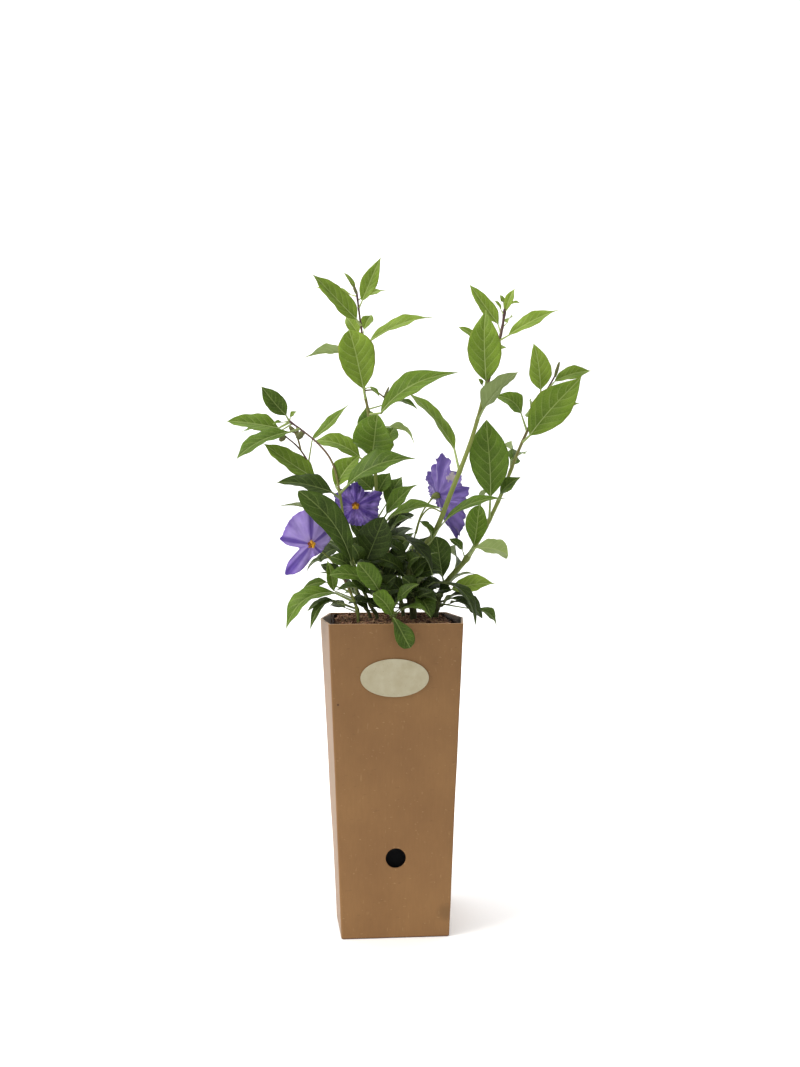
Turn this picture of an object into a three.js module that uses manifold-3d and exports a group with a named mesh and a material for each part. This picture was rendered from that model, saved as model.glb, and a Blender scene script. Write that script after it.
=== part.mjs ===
// A young blue potato bush in its square nursery pot, which stands in a tapered card sleeve.
// Millimetres, +Z up. The origin is the middle of the sleeve's foot, and its front panel faces -Y.
import * as THREE from 'three';
import { mergeVertices } from 'three/addons/utils/BufferGeometryUtils.js';
import Module from 'manifold-3d';

const wasm = await Module();
wasm.setup();

// Driving dimensions
const sleeveHeight = 177.8;
const sleeveTop = { halfWidth: 37.65, halfDepth: 38.7, crease: 5.1 };
const sleeveFoot = { halfWidth: 30.5, halfDepth: 31.4, crease: 2.4 };
const board = 1.2;
const holeRadius = 5.7;
const holeHeight = 45.6;
const labelSize = { width: 38.2, height: 21.3, thickness: 0.5, centre: 147.6, side: -0.9 };
const fitGap = 0.35;
const potTop = { halfWidth: 35.9, height: 177.2 };
const potFoot = { halfWidth: 28.2, height: board + fitGap };
const potWall = 1.1;
const potCorner = 6;
const drainRadius = 3;
const soilTop = 176.2;
const soilSwell = 1.4;
const stemSink = 12;
const bladeThickness = 0.7;
const bladeFold = THREE.MathUtils.degToRad(20);
const edgeWave = 0.05;
const wavesAlong = 1.6;
const stalkHalfWidth = 0.45;
const tipHalfWidth = 0.3;
const petalThickness = 0.7;
const throatShare = 0.16;
const antherLength = 6;
const calyxLength = 5;
const seatGap = 0.35;
const stemClearance = 0.85;

// The plant is set out as it is seen from the front by an eye at this place: each point is given as
// [across, height, depth], measured in the upright plane through the pot's axis, and its depth
// carries it along the line of sight. The pot is turned a little to that line.
const eyeDistance = 561;
const eyeHeight = 228;
const eyeShift = 4.75;
const potTurn = THREE.MathUtils.degToRad(4.1);

function place([across, height, depth]) {
  const reach = (eyeDistance + depth) / eyeDistance;
  const side = across * reach + eyeShift;
  const up = eyeHeight + (height - eyeHeight) * reach;
  const c = Math.cos(potTurn);
  const s = Math.sin(potTurn);
  return new THREE.Vector3(side * c + depth * s, depth * c - side * s, up);
}

const eye = place([0, eyeHeight, -eyeDistance]);
const lerp = THREE.MathUtils.lerp;

// Closed meshes from rings of points

function geometryFrom(points, triangles) {
  const geometry = new THREE.BufferGeometry();
  const positions = points.flatMap((p) => [p.x, p.y, p.z]);
  geometry.setAttribute('position', new THREE.Float32BufferAttribute(positions, 3));
  geometry.setIndex(triangles.flat());
  return geometry;
}

// Joins rings of equally many points into one closed skin. The second half of each ring is split
// along the other diagonal, so that the two faces of a thin blade are cut into triangles alike.
function skin(rings) {
  const count = rings[0].length;
  const triangles = [];
  for (let i = 0; i < rings.length - 1; i++) {
    for (let j = 0; j < count; j++) {
      const a = i * count + j;
      const b = i * count + (j + 1) % count;
      const c = a + count;
      const d = b + count;
      if (j < count / 2) triangles.push([a, b, d], [a, d, c]);
      else triangles.push([a, b, c], [b, d, c]);
    }
  }
  const last = (rings.length - 1) * count;
  for (let j = 2; j < count; j++) {
    const next = (j + 1) % count;
    triangles.push([1, next, j], [last + 1, last + j, last + next]);
  }
  return geometryFrom(rings.flat(), triangles);
}

// Turns a closed mesh into a solid, with its faces outwards
function solid(geometry) {
  const bare = geometry.clone();
  bare.deleteAttribute('normal');
  bare.deleteAttribute('uv');
  const merged = mergeVertices(bare, 1e-4);
  const points = merged.attributes.position;
  const index = Uint32Array.from(merged.index.array);
  let volume = 0;
  const a = new THREE.Vector3();
  const b = new THREE.Vector3();
  const c = new THREE.Vector3();
  for (let i = 0; i < index.length; i += 3) {
    a.fromBufferAttribute(points, index[i]);
    b.fromBufferAttribute(points, index[i + 1]);
    c.fromBufferAttribute(points, index[i + 2]);
    volume += a.dot(b.cross(c));
  }
  if (volume < 0) index.reverse();
  const vertProperties = Float32Array.from(points.array);
  return new wasm.Manifold(new wasm.Mesh({ numProp: 3, vertProperties, triVerts: index }));
}

const fuse = (solids) => wasm.Manifold.union(solids);

function geometryOf(shape) {
  const mesh = shape.getMesh();
  const geometry = new THREE.BufferGeometry();
  geometry.setAttribute('position', new THREE.BufferAttribute(Float32Array.from(mesh.vertProperties), 3));
  geometry.setIndex(new THREE.BufferAttribute(Uint32Array.from(mesh.triVerts), 1));
  return geometry;
}

// Stems

// A stem is a smooth line through its points, thinning from its foot to its tip. Its lowest stretch
// stands upright in its hole in the soil.
function makeStem(points, footRadius, tipRadius) {
  const [across, , depth] = points[0];
  const foot = place([across, soilTop, depth]);
  const sunk = foot.clone().setZ(soilTop - stemSink);
  const collar = foot.clone().setZ(soilTop + 3);
  const curve = new THREE.CatmullRomCurve3([sunk, collar, ...points.slice(1).map(place)]);
  return { curve, foot, footRadius, tipRadius };
}

function tube(curve, radiusAt, steps, sides) {
  const frames = curve.computeFrenetFrames(steps, false);
  const rings = [];
  for (let i = 0; i <= steps; i++) {
    const t = i / steps;
    const centre = curve.getPointAt(t);
    const ring = [];
    for (let j = 0; j < sides; j++) {
      const angle = (2 * Math.PI * j) / sides;
      ring.push(centre.clone()
        .addScaledVector(frames.normals[i], radiusAt(t) * Math.cos(angle))
        .addScaledVector(frames.binormals[i], radiusAt(t) * Math.sin(angle)));
    }
    rings.push(ring);
  }
  return solid(skin(rings));
}

const stemSolid = ({ curve, footRadius, tipRadius }, steps) =>
  tube(curve, (t) => lerp(footRadius, tipRadius, t), steps, 6);

// The point on a stem's line at a height, found by halving
function onStem({ curve }, height) {
  let low = 0;
  let high = 1;
  for (let i = 0; i < 24; i++) {
    const middle = (low + high) / 2;
    if (curve.getPointAt(middle).z < height) low = middle;
    else high = middle;
  }
  return curve.getPointAt((low + high) / 2);
}

// A thin side branch or flower stalk, from a stem's line through the given points
function twig(stem, height, points, radius, endRadius = radius) {
  const curve = new THREE.CatmullRomCurve3([onStem(stem, height), ...points.map(place)]);
  return tube(curve, (t) => lerp(radius, endRadius, t), 3 * points.length, 5);
}

// A flower bud: a small spindle from its stalk to its point
function bud(from, to, radius) {
  const start = place(from);
  const end = place(to);
  const axis = new THREE.LineCurve3(start, end);
  return tube(axis, (t) => radius * (0.35 + 0.65 * Math.sin(Math.PI * (0.15 + 0.75 * t))), 4, 5);
}

// Leaves

// Half-width of a blade along its rib, as a share of its widest place, which lies at `widest`. A blade
// that is widest past its middle is blunter.
const usualWidest = 0.42;
const usualTaper = 2.1;
const taperLoss = 3;
const leafTaper = (widest) => usualTaper - taperLoss * Math.max(0, widest - usualWidest);
const leafOutline = (s, widest) => {
  const taper = leafTaper(widest);
  return Math.pow(s / widest, taper * widest) * Math.pow((1 - s) / (1 - widest), taper * (1 - widest));
};

// Directions of a blade: out of its upper face and across its rib. A turn of 0 degrees shows the upper
// face to the eye, 90 turns it to the sky, and more shows the pale underside.
function bladeAxes(base, tip, turn) {
  const along = tip.clone().sub(base).normalize();
  const sight = eye.clone().sub(base);
  const toEye = sight.addScaledVector(along, -sight.dot(along)).normalize();
  const upward = along.clone().cross(toEye).normalize();
  if (upward.z < 0) upward.negate();
  const angle = THREE.MathUtils.degToRad(turn);
  const face = toEye.multiplyScalar(Math.cos(angle)).addScaledVector(upward, Math.sin(angle));
  return { face, across: face.clone().cross(along).normalize() };
}

// A leaf with its stalk. The blade is folded up a little along its rib, arched from base to tip, bowed
// to its left where bow is above nought, and its edges wave in turn.
function leafSolid(root, basePoint, tipPoint, width, turn, arch = 3, widest = usualWidest, bow = 0) {
  const length = basePoint.distanceTo(tipPoint);
  const stations = length > 40 ? 5 : length > 23 ? 4 : length > 12 ? 3 : 2;
  const waveHeight = width * edgeWave;
  const { face, across } = bladeAxes(basePoint, tipPoint, turn);
  const section = (centre, half, wave) => {
    const out = across.clone().multiplyScalar(half * Math.cos(bladeFold));
    const lift = half * Math.sin(bladeFold);
    const left = centre.clone().sub(out).addScaledVector(face, lift + wave);
    const right = centre.clone().add(out).addScaledVector(face, lift - wave);
    const top = [left, centre, right];
    const under = top.map((p) => p.clone().addScaledVector(face, -bladeThickness)).reverse();
    return [...top, ...under];
  };
  const rings = [section(root, stalkHalfWidth, 0), section(basePoint, stalkHalfWidth, 0)];
  for (let i = 1; i <= stations; i++) {
    const s = i / stations;
    const centre = basePoint.clone().lerp(tipPoint, s)
      .addScaledVector(face, 4 * arch * s * (1 - s))
      .addScaledVector(across, 4 * bow * s * (1 - s));
    const half = Math.max(tipHalfWidth, 0.5 * width * (s < 1 ? leafOutline(s, widest) : 0));
    rings.push(section(centre, half, s < 1 ? waveHeight * Math.sin(2 * Math.PI * wavesAlong * s) : 0));
  }
  return solid(skin(rings));
}

// Each row: height of the root on the stem, base, tip, width, turn, arch, widest place, bow
const leavesOn = (stem, rows) => rows.map(([height, base, tip, ...form]) =>
  leafSolid(onStem(stem, height), place(base), place(tip), ...form));

// Leaves that follow each other up a stem within a fan about a bearing, each one turned on by the
// golden section of the fan
function fanLeaves(stem, heights, bearing, spread, length, width) {
  return heights.map((height, i) => {
    const root = onStem(stem, height);
    const angle = THREE.MathUtils.degToRad(bearing + spread * (((i * 0.618) % 1) - 0.5));
    const out = new THREE.Vector3(Math.cos(angle), Math.sin(angle), 0.35 + 0.2 * (i % 3));
    const base = root.clone().addScaledVector(out, 4);
    const tip = root.clone().addScaledVector(out, 4 + length * (0.85 + 0.1 * (i % 4)));
    return leafSolid(root, base, tip, width, 90, 4);
  });
}

// Blooms

// Directions of a bloom: out of its face, up and to the right as it is looked at from the front
function bloomAxes(facing) {
  const out = new THREE.Vector3(...facing).normalize();
  const up = new THREE.Vector3(0, 0, 1).addScaledVector(out, -out.z).normalize();
  return { out, up, right: up.clone().cross(out) };
}

// Reach and lift of the corolla at an angle, eased between its five lobes. Each lobe is
// [angle in degrees, reach, lift, how far the web after it is drawn in].
const usualWeb = 0.16;
function corollaEdge(lobes, angle) {
  const turnOf = (degrees) => ((degrees % 360) + 360) % 360;
  const sorted = [...lobes].sort((a, b) => turnOf(a[0]) - turnOf(b[0]));
  const at = turnOf(THREE.MathUtils.radToDeg(angle));
  let next = sorted.findIndex((lobe) => turnOf(lobe[0]) > at);
  if (next < 0) next = 0;
  const before = sorted[(next + 4) % 5];
  const after = sorted[next];
  const span = turnOf(after[0] - before[0]);
  const share = turnOf(at - before[0]) / span;
  const ease = share * share * (3 - 2 * share);
  const web = Math.sin(Math.PI * share);
  return {
    reach: lerp(before[1], after[1], ease) * (1 - (before[3] ?? usualWeb) * web * web),
    lift: lerp(before[2], after[2], ease) + 1.6 * web,
    pleat: Math.cos(2 * Math.PI * share),
    ruffle: Math.sin(4 * Math.PI * share),
  };
}

// The corolla is one ruffled ring of five grown-together lobes, flat at its throat
function corolla({ throat, facing, wave, lobes }) {
  const steps = 30;
  const shares = [throatShare, 0.5, 0.8, 1];
  const { out, up, right } = bloomAxes(facing);
  const centre = place(throat);
  const front = [centre.clone()];
  for (const share of shares) {
    for (let j = 0; j < steps; j++) {
      const angle = (2 * Math.PI * j) / steps;
      const { reach, lift, pleat, ruffle } = corollaEdge(lobes, angle);
      const outer = (share - throatShare) / (1 - throatShare);
      const height = lift * Math.pow(outer, 1.3) + 0.8 * outer * pleat + wave * outer * outer * ruffle;
      front.push(centre.clone()
        .addScaledVector(right, share * reach * Math.cos(angle))
        .addScaledVector(up, share * reach * Math.sin(angle))
        .addScaledVector(out, height));
    }
  }
  const back = front.map((p) => p.clone().addScaledVector(out, -petalThickness));
  const size = front.length;
  const triangles = [];
  const spot = (ring, j) => 1 + ring * steps + (j % steps);
  for (let j = 0; j < steps; j++) {
    triangles.push([0, spot(0, j), spot(0, j + 1)]);
    for (let ring = 0; ring < shares.length - 1; ring++) {
      triangles.push([spot(ring, j), spot(ring + 1, j), spot(ring + 1, j + 1)]);
      triangles.push([spot(ring, j), spot(ring + 1, j + 1), spot(ring, j + 1)]);
    }
  }
  const under = triangles.map(([a, b, c]) => [a + size, c + size, b + size]);
  const rim = shares.length - 1;
  const edge = [];
  for (let j = 0; j < steps; j++) {
    const a = spot(rim, j);
    const b = spot(rim, j + 1);
    edge.push([a, a + size, b + size], [a, b + size, b]);
  }
  return solid(geometryFrom([...front, ...back], [...triangles, ...under, ...edge]));
}

// Five anthers stand together as a short ribbed cone in the throat
function antherCone({ throat, facing }) {
  const { out, up, right } = bloomAxes(facing);
  const centre = place(throat).addScaledVector(out, seatGap);
  const profile = [[0, 1.7], [0.3, 2.3], [0.7, 1.9], [1, 1.1]];
  const rings = profile.map(([share, radius]) => {
    const ring = [];
    for (let j = 0; j < 10; j++) {
      const angle = (Math.PI * j) / 5;
      const ribbed = radius * (j % 2 ? 0.8 : 1);
      ring.push(centre.clone()
        .addScaledVector(right, ribbed * Math.cos(angle))
        .addScaledVector(up, ribbed * Math.sin(angle))
        .addScaledVector(out, share * antherLength));
    }
    return ring;
  });
  return solid(skin(rings));
}

// The calyx is a small green cup that ends the flower stalk just behind the corolla
function calyx({ throat, facing }) {
  const { out, up, right } = bloomAxes(facing);
  const front = place(throat).addScaledVector(out, -petalThickness - seatGap);
  const profile = [[-calyxLength, 0.8], [-0.6 * calyxLength, 1.7], [0, 1.9]];
  const rings = profile.map(([back, radius]) => {
    const ring = [];
    for (let j = 0; j < 10; j++) {
      const angle = (Math.PI * j) / 5;
      const toothed = radius * (j % 2 ? 0.85 : 1.05);
      ring.push(front.clone()
        .addScaledVector(right, toothed * Math.cos(angle))
        .addScaledVector(up, toothed * Math.sin(angle))
        .addScaledVector(out, back));
    }
    return ring;
  });
  return solid(skin(rings));
}

// The stalk that carries a bloom, from its stem to the back of the calyx
function bloomStalk(stem, height, points, bloom, radius) {
  const { out } = bloomAxes(bloom.facing);
  const end = place(bloom.throat).addScaledVector(out, -petalThickness - seatGap - 0.7 * calyxLength);
  const curve = new THREE.CatmullRomCurve3([onStem(stem, height), ...points.map(place), end]);
  return fuse([tube(curve, () => radius, 4 * (points.length + 1), 5), calyx(bloom)]);
}

const leftBloom = {
  throat: [-52.9, 221.6, -18],
  facing: [0.1, -1, -0.08],
  wave: 0.9,
  lobes: [[38, 15.6, -5, 0.02], [90, 20.9, -1, 0], [170, 17.5, -2, 0.62], [230, 22, -2, 0.45], [320, 7.5, -2]],
};
const middleBloom = {
  throat: [-26.4, 244.4, -9],
  facing: [-0.08, -1, 0.05],
  wave: 1.7,
  lobes: [[27, 16.5, -2, 0.3], [90, 13.8, -2, 0.04], [150, 14, -2], [232, 11.5, -2, 0.08], [332, 14.6, -2, 0.12]],
};
const rightBloom = {
  throat: [23, 251, 13],
  facing: [0.76, 0.6, 0.24],
  wave: 1.4,
  lobes: [[58, 16, 3, 0.06], [100, 23.5, 3, 0.14], [172, 20, 4, 0.24], [264, 28.5, 5, 0.34], [312, 8, 1.5, 0.1]],
};

// Centre stem
const centreStem = makeStem([
  [-5, soilTop, 0], [-9, 200, 4], [-14, 235, 8], [-14.4, 260, 6], [-18.2, 297, 0], [-21.6, 315, -2],
  [-22.6, 346, -4], [-24, 357, -5], [-26, 373, -6],
], 1.6, 0.55);

function centreLeaves() {
  const upper = leavesOn(centreStem, [
    [351, [-26, 356, -8], [-51.7, 384, -20], 15.6, 40, -1, 0.38],
    [361, [-22.6, 367, -7], [-11.3, 393.2, -12], 10.4, 20, -1, 0.38],
    [366, [-22, 369, -3], [-7.8, 373.4, 4], 6, 50, 1],
    [370, [-26.8, 374, -7], [-33.6, 384, -10], 3.4, 30, 1],
    [368, [-30, 371, 0], [-50.4, 374.8, 8], 5.5, 70, 1],
    [343, [-25, 347.4, 4], [-32.4, 357.4, 9], 10, 22, 1],
    [344, [-21.4, 350, 3], [-17, 359, 9], 8, 25, 1],
    [308, [-21.8, 314.4, -8], [-30, 349.2, -22], 22.5, 6, 3, 0.62],
    [332, [-27, 335.4, 2], [-57, 334, 8], 15, 112, 2],
    [339, [-17.6, 343.4, -6], [19, 358.6, -14], 13, 58, 2.6],
    [299, [-11.4, 300, -8], [34.6, 325, -24], 17, 46, 7, 0.38],
    [302, [-3, 307, -8], [10.8, 302, -14], 5, 60, 2],
    [269, [-17, 274.6, -4], [-13.4, 299, -28], 25, 2, 3, 0.56],
    [272, [-18.5, 281, 10], [-20, 304, 16], 15, 10, 2],
    [274, [-9, 280, 6], [-3, 292, 12], 12, 20, 2],
    [292, [-6, 292, 2], [9, 282.8, -6], 10, 112, 3],
    [266, [-24, 273.6, 4], [-52, 284, 8], 16, 46, 4],
    [250, [-16.4, 254, 8], [-27.6, 263.6, 12], 14, 24, 1],
    [248, [-13.4, 252, 9], [-5.8, 264.6, 13], 12, 20, 1],
  ]);
  const shoot = twig(centreStem, 313, [[-16, 313.5, -4], [-9.6, 309.5, -8]], 0.5);
  const narrow = leavesOn(centreStem, [[314, [-18, 315.6, -6], [-12, 309.6, -12], 3.5, 40, 1]]);
  const lower = leavesOn(centreStem, [
    [206, [-20, 211.4, -14], [-9.8, 237.4, -26], 21, 8, 3, 0.56],
    [226, [-5, 230.5, -2], [7.2, 237.4, -8], 10, 70, 2],
    [231, [-8, 240, -2], [10.4, 257.8, -6], 13, 40, 2],
    [236, [-8, 246, 10], [1, 262.5, 16], 12, 20, 2],
    [226, [-8, 236, -12], [25.2, 243.6, -26], 13, 62, 4],
    [214, [-8, 226, -14], [20, 201.6, -31], 14, 62, 8],
    [212, [-17, 218, 6], [-31, 236, 4], 12, 30, 2],
    [188, [-9, 190, -7], [-22, 201, -7], 9, 40, 2],
    [196, [-8, 199, -3], [-1, 213, -5], 8, 30, 2],
    [205, [-12, 208, -5], [-25, 218, -6], 10, 40, 2],
    [183, [-3, 185, -7], [2, 196, -13], 7, 40, 2],
    [191, [-5, 193, 4], [-15, 206, 12], 10, 40, 2],
    [202, [-5, 204, 4], [6, 218, 10], 10, 40, 2],
  ]);
  return [...upper, shoot, ...narrow, ...lower];
}

const centreTips = () => [
  bud([-26, 371, -6], [-28.2, 377.5, -8], 1),
  bud([-9.6, 308.5, -8], [-6.6, 315.6, -9], 0.8),
];

// Right stem
const rightStem = makeStem([
  [8, soilTop, -4], [6, 206.6, -6], [13.2, 218.6, -9], [20.4, 228.2, -12], [30.6, 252.8, -14],
  [42, 282.2, -12], [51.6, 315.2, -8], [60.6, 348.8, -5], [62.6, 362, -4],
], 2, 0.75);

function rightLeaves() {
  const upper = leavesOn(rightStem, [
    [358, [63.3, 361.5, -5], [68.4, 374.6, -8], 5.8, 20, 1],
    [360, [61.8, 366, -5], [59.6, 370.5, -6], 3, 20, 0.5],
    [359, [66.5, 365.4, -4], [72, 365.8, -2], 3, 60, 0.5],
    [357, [60.4, 362, -6], [56.4, 367, -12], 3.5, 60, 0.5],
    [350, [64, 354, 0], [67, 357.6, 12], 6, 70, 1],
    [346, [58.6, 353, 0], [41.4, 377, 4], 10.6, 30, -1],
    [305, [51.4, 319, -14], [51, 361.6, -24], 20.4, 2, 3, 0.44],
    [342, [65, 346.6, -8], [94.8, 362, -16], 11.4, 42, 1],
    [334, [47, 343, 3], [34.7, 351.6, 6], 5.5, 40, 1],
    [294, [49.4, 302, -13], [69.6, 325.2, -20], 17.5, 126, 2],
    [312, [49.2, 317, -10], [46.8, 320.6, -14], 3, 30, 0.5],
    [264, [32.6, 278.6, -12], [5.4, 314, 2], 14, 60, 2],
    [223, [27, 236, -19], [64.8, 248.6, -26], 9, 50, 5],
  ]);
  const lower = leavesOn(rightStem, [
    [216, [19.2, 224, -14], [11.6, 235.6, -20], 11, 70, 2],
    [200, [8, 204, -14], [18, 212.5, -22], 12, 30, 2],
    [200, [15, 206, 2], [18.5, 219, 10], 12, 20, 2],
    [190, [20, 199, -10], [45.6, 174, -24], 10.6, 64, 9, 0.55],
    [186, [12, 187, -12], [22, 188, -30], 11, 80, 3],
    [189, [10.6, 191, -15], [18.6, 178, -25], 12, 24, 3, 0.54],
    [210, [11, 214, 0], [18, 227, 5], 10, 30, 2],
  ]);
  const hook = twig(rightStem, 240, [[18.4, 243.2, -12], [12.8, 238, -8], [9.6, 228, -5]], 0.5);
  return [...upper, ...lower, hook];
}

// Far-right stem
const farStem = makeStem([
  [21, soilTop, 6], [22.4, 188, 7], [27.6, 198.8, 7], [39, 212, 6], [49.8, 229.4, 6], [60, 250.4, 7],
  [72, 280.4, 9], [87.5, 313, 13], [92.8, 322.6, 15],
], 1.9, 0.55);

function farLeaves() {
  const upper = leavesOn(farStem, [
    [308, [84, 314, 12], [79.8, 341.6, 4], 15, 14, 2],
    [316, [92.4, 319, 12], [114.4, 325.6, 8], 11, 42, 2],
    [283, [77.5, 286.6, 4], [108.6, 321.8, -4], 23, 14, 3],
    [296, [90, 300, 20], [107.4, 305.8, 26], 9, 60, 2],
    [290, [72.4, 299.8, 9], [57, 310.6, 6], 14, 40, 4],
    [236, [54, 250, 0], [51.6, 296, -4], 24, 4, 3, 0.5],
    [266, [66, 272, 12], [75, 276, 28], 12, 60, 2],
    [247, [60, 251.6, 2], [72, 261.8, -4], 10, 40, 2],
  ]);
  const lower = leavesOn(farStem, [
    [213, [44, 221, 0], [47, 244.8, -7], 14, 10, 2, 0.62, -1],
    [214, [44.8, 219.6, -4], [65, 216, -10], 15, 138, 2, 0.72],
    [212, [37.4, 218.4, 2], [29.4, 225, -1], 7, 50, 1],
    [197, [25.4, 202, 0], [21.6, 226.4, -1], 15, 10, 2, 0.6],
    [194, [31, 194.8, 2], [57, 198.2, -10], 13.5, 36, 1],
    [186, [31, 189.6, 10], [49.4, 177.6, 14], 14, 56, 3, 0.55],
    [184, [30, 186.4, -2], [43, 182.6, -12], 9, 70, 3],
    [186, [46, 182.6, 18], [58.2, 173, 20], 10, 58, 3],
  ]);
  return [...upper, ...lower];
}

const farTip = () => bud([92.4, 321.4, 15], [95.2, 330.6, 14], 1.1);

// Left stem, which arches over and carries a fan of leaves at its end
const leftStem = makeStem([
  [-14, soilTop, -10], [-17, 184, -12], [-26, 205, -18], [-33, 232, -22], [-35.5, 249.4, -22],
  [-39.1, 266.9, -20], [-43, 274.8, -19], [-50, 282.7, -17], [-58, 289.2, -15], [-66, 295, -14],
], 1.1, 0.5);

function leftLeaves() {
  return leavesOn(leftStem, [
    [294, [-68, 298.6, -14], [-82.8, 316, -18], 12.4, 22, -1],
    [293, [-72.6, 291, -12], [-103.6, 296, -12], 15, 46, 0.8],
    [289, [-66.2, 288.6, -19], [-98, 273.4, -28], 14, 50, 2.6, 0.5],
    [292, [-72, 289, -6], [-94.8, 289.4, 6], 9, 70, 2],
    [294, [-65.6, 297.6, -14], [-61.6, 301, -16], 3.5, 40, 0.5],
    [295, [-70.6, 294.6, -16], [-76, 293.4, -18], 3.5, 60, 0.5],
    [252, [-38.4, 256, -20], [-24, 275.4, -16], 15, 30, 2],
    [251, [-31.6, 256.6, -26], [9.6, 273.8, -36], 19, 50, 6],
    [199, [-28.8, 210, -27], [-60.6, 253.6, -38], 19, 28, 3, 0.62, -5],
    [248, [-40.4, 252.6, -25], [-73.4, 259, -32], 16, 46, 2],
    [206, [-32, 214, -12], [-45, 223.4, 0], 8, 50, 2],
  ]);
}

// Second left stem, with the flower buds
const buddedStem = makeStem([
  [-18, soilTop, 6], [-22, 186, 7], [-34, 215, 4], [-45, 245, 0], [-54, 269, -2], [-60.6, 279.2, -3],
  [-69.6, 287, -4],
], 1.1, 0.45);

function buddedLeaves() {
  const leaves = leavesOn(buddedStem, [
    [259, [-51, 261, -4], [-81.4, 282, -8], 17, 42, 0],
    [270, [-52.6, 284, -7], [-31.6, 306, -13], 8, 50, -1],
    [222, [-35, 219.5, 8], [-48.5, 211, 12], 11, 50, 3],
    [214, [-40, 213.6, 10], [-56, 206, 20], 10, 70, 3],
  ]);
  const branch = twig(buddedStem, 277, [[-61.2, 285.2, -4], [-63.2, 289, -4]], 0.6);
  const buds = [
    bud([-68.6, 286, -4], [-72, 283.2, -5], 1.7),
    bud([-63, 288.4, -4], [-66, 292, -4], 1.5),
    bud([-61.4, 284.6, -4], [-57, 289.4, -5], 2),
    bud([-61.2, 285, -4], [-61.4, 291.6, -3], 1.2),
  ];
  return [...leaves, branch, ...buds];
}

// Low left spray: the left bloom's stalk and the small leaves round it
const lowLeftStem = makeStem([
  [-25, soilTop, -14], [-26, 184, -14], [-31, 196, -12], [-37, 208, -8],
], 1.1, 0.6);

function lowLeftLeaves() {
  return leavesOn(lowLeftStem, [
    [188, [-38.6, 192.6, -14], [-68.4, 170.4, -22], 17, 52, 9],
    [184, [-37.6, 188, -16], [-54, 170.6, -30], 7, 50, 6],
    [184, [-38, 187, -4], [-55.6, 182, -8], 7, 66, 3],
    [190, [-39.6, 194, -18], [-43.4, 212, -22], 7, 12, 1],
    [194, [-44, 199, -12], [-57.6, 196, -12], 7, 46, 1],
    [200, [-35, 203, -12], [-47.6, 209.6, -8], 8, 30, 1],
    [182, [-33, 184, 4], [-42, 186, 16], 8, 50, 1],
  ]);
}

// Low front spray, which hangs over the rim
const frontStem = makeStem([
  [-4, soilTop, -22], [-5, 182, -23], [-9, 190, -25], [-13, 196, -27],
], 1.4, 0.7);

function frontLeaves() {
  return leavesOn(frontStem, [
    [191, [-15.6, 198.6, -30], [-41.8, 203.8, -37], 12.5, 42, 3, 0.56],
    [189, [-16.6, 191.6, -24], [-37.8, 194.6, -27], 11, 58, 3, 0.52],
    [192, [-12.4, 193.6, -32], [-25, 210.6, -41], 13, 26, 2, 0.58],
    [181, [-4.6, 179.2, -31], [-15.6, 192.4, -38], 12, 24, 2, 0.68],
    [180, [-3.8, 177.6, -41], [6.2, 159.6, -45.5], 11, 20, 1, 0.68],
    [181, [-0.5, 181.6, -28], [18.6, 178.8, -36], 8, 66, 4],
    [184, [-2.4, 186, -26], [10.4, 198.2, -32], 9, 46, 1.4, 0.55],
    [181, [-8, 182, -25], [-24, 188, -23], 9, 55, 2],
    [185, [-1, 189, -23], [7, 196, -27], 7, 50, 2],
    [182, [1, 184, -20], [12.5, 183, -21], 6, 70, 1],
  ]);
}

// Rear spray
const rearStem = makeStem([
  [2, soilTop, 18], [0, 190, 22], [-6, 214, 28], [-10, 236, 34],
], 1.4, 0.6);

const rearSpray = () => [
  ...fanLeaves(rearStem, [183, 190, 197, 205, 214, 224], 85, 110, 28, 13),
  ...leavesOn(rearStem, [
    [182, [-5, 184, 19], [-19, 185.4, 17], 10, 50, 2],
    [182, [7, 184, 19], [20, 186, 16], 10, 50, 2],
    [184, [-5, 187, 20], [-21, 193, 22], 11, 50, 3],
    [187, [-6, 191, 21], [-22, 204, 16], 12, 40, 3],
    [194, [-8, 199, 24], [-26, 212, 20], 12, 40, 3],
    [208, [-11, 212, 27], [-25, 226, 22], 12, 30, 3],
    [184, [6, 187, 19], [24, 191, 17], 11, 50, 3],
    [188, [6, 192, 21], [21, 204, 18], 12, 40, 3],
    [195, [2, 200, 24], [14, 216, 20], 12, 30, 3],
    [209, [-3, 213, 28], [9, 229, 24], 12, 30, 3],
  ]),
];

// Assembly of the plant's nodes

function withStem(stem, steps, parts) {
  return fuse([stemSolid(stem, steps), ...parts]);
}

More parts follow.
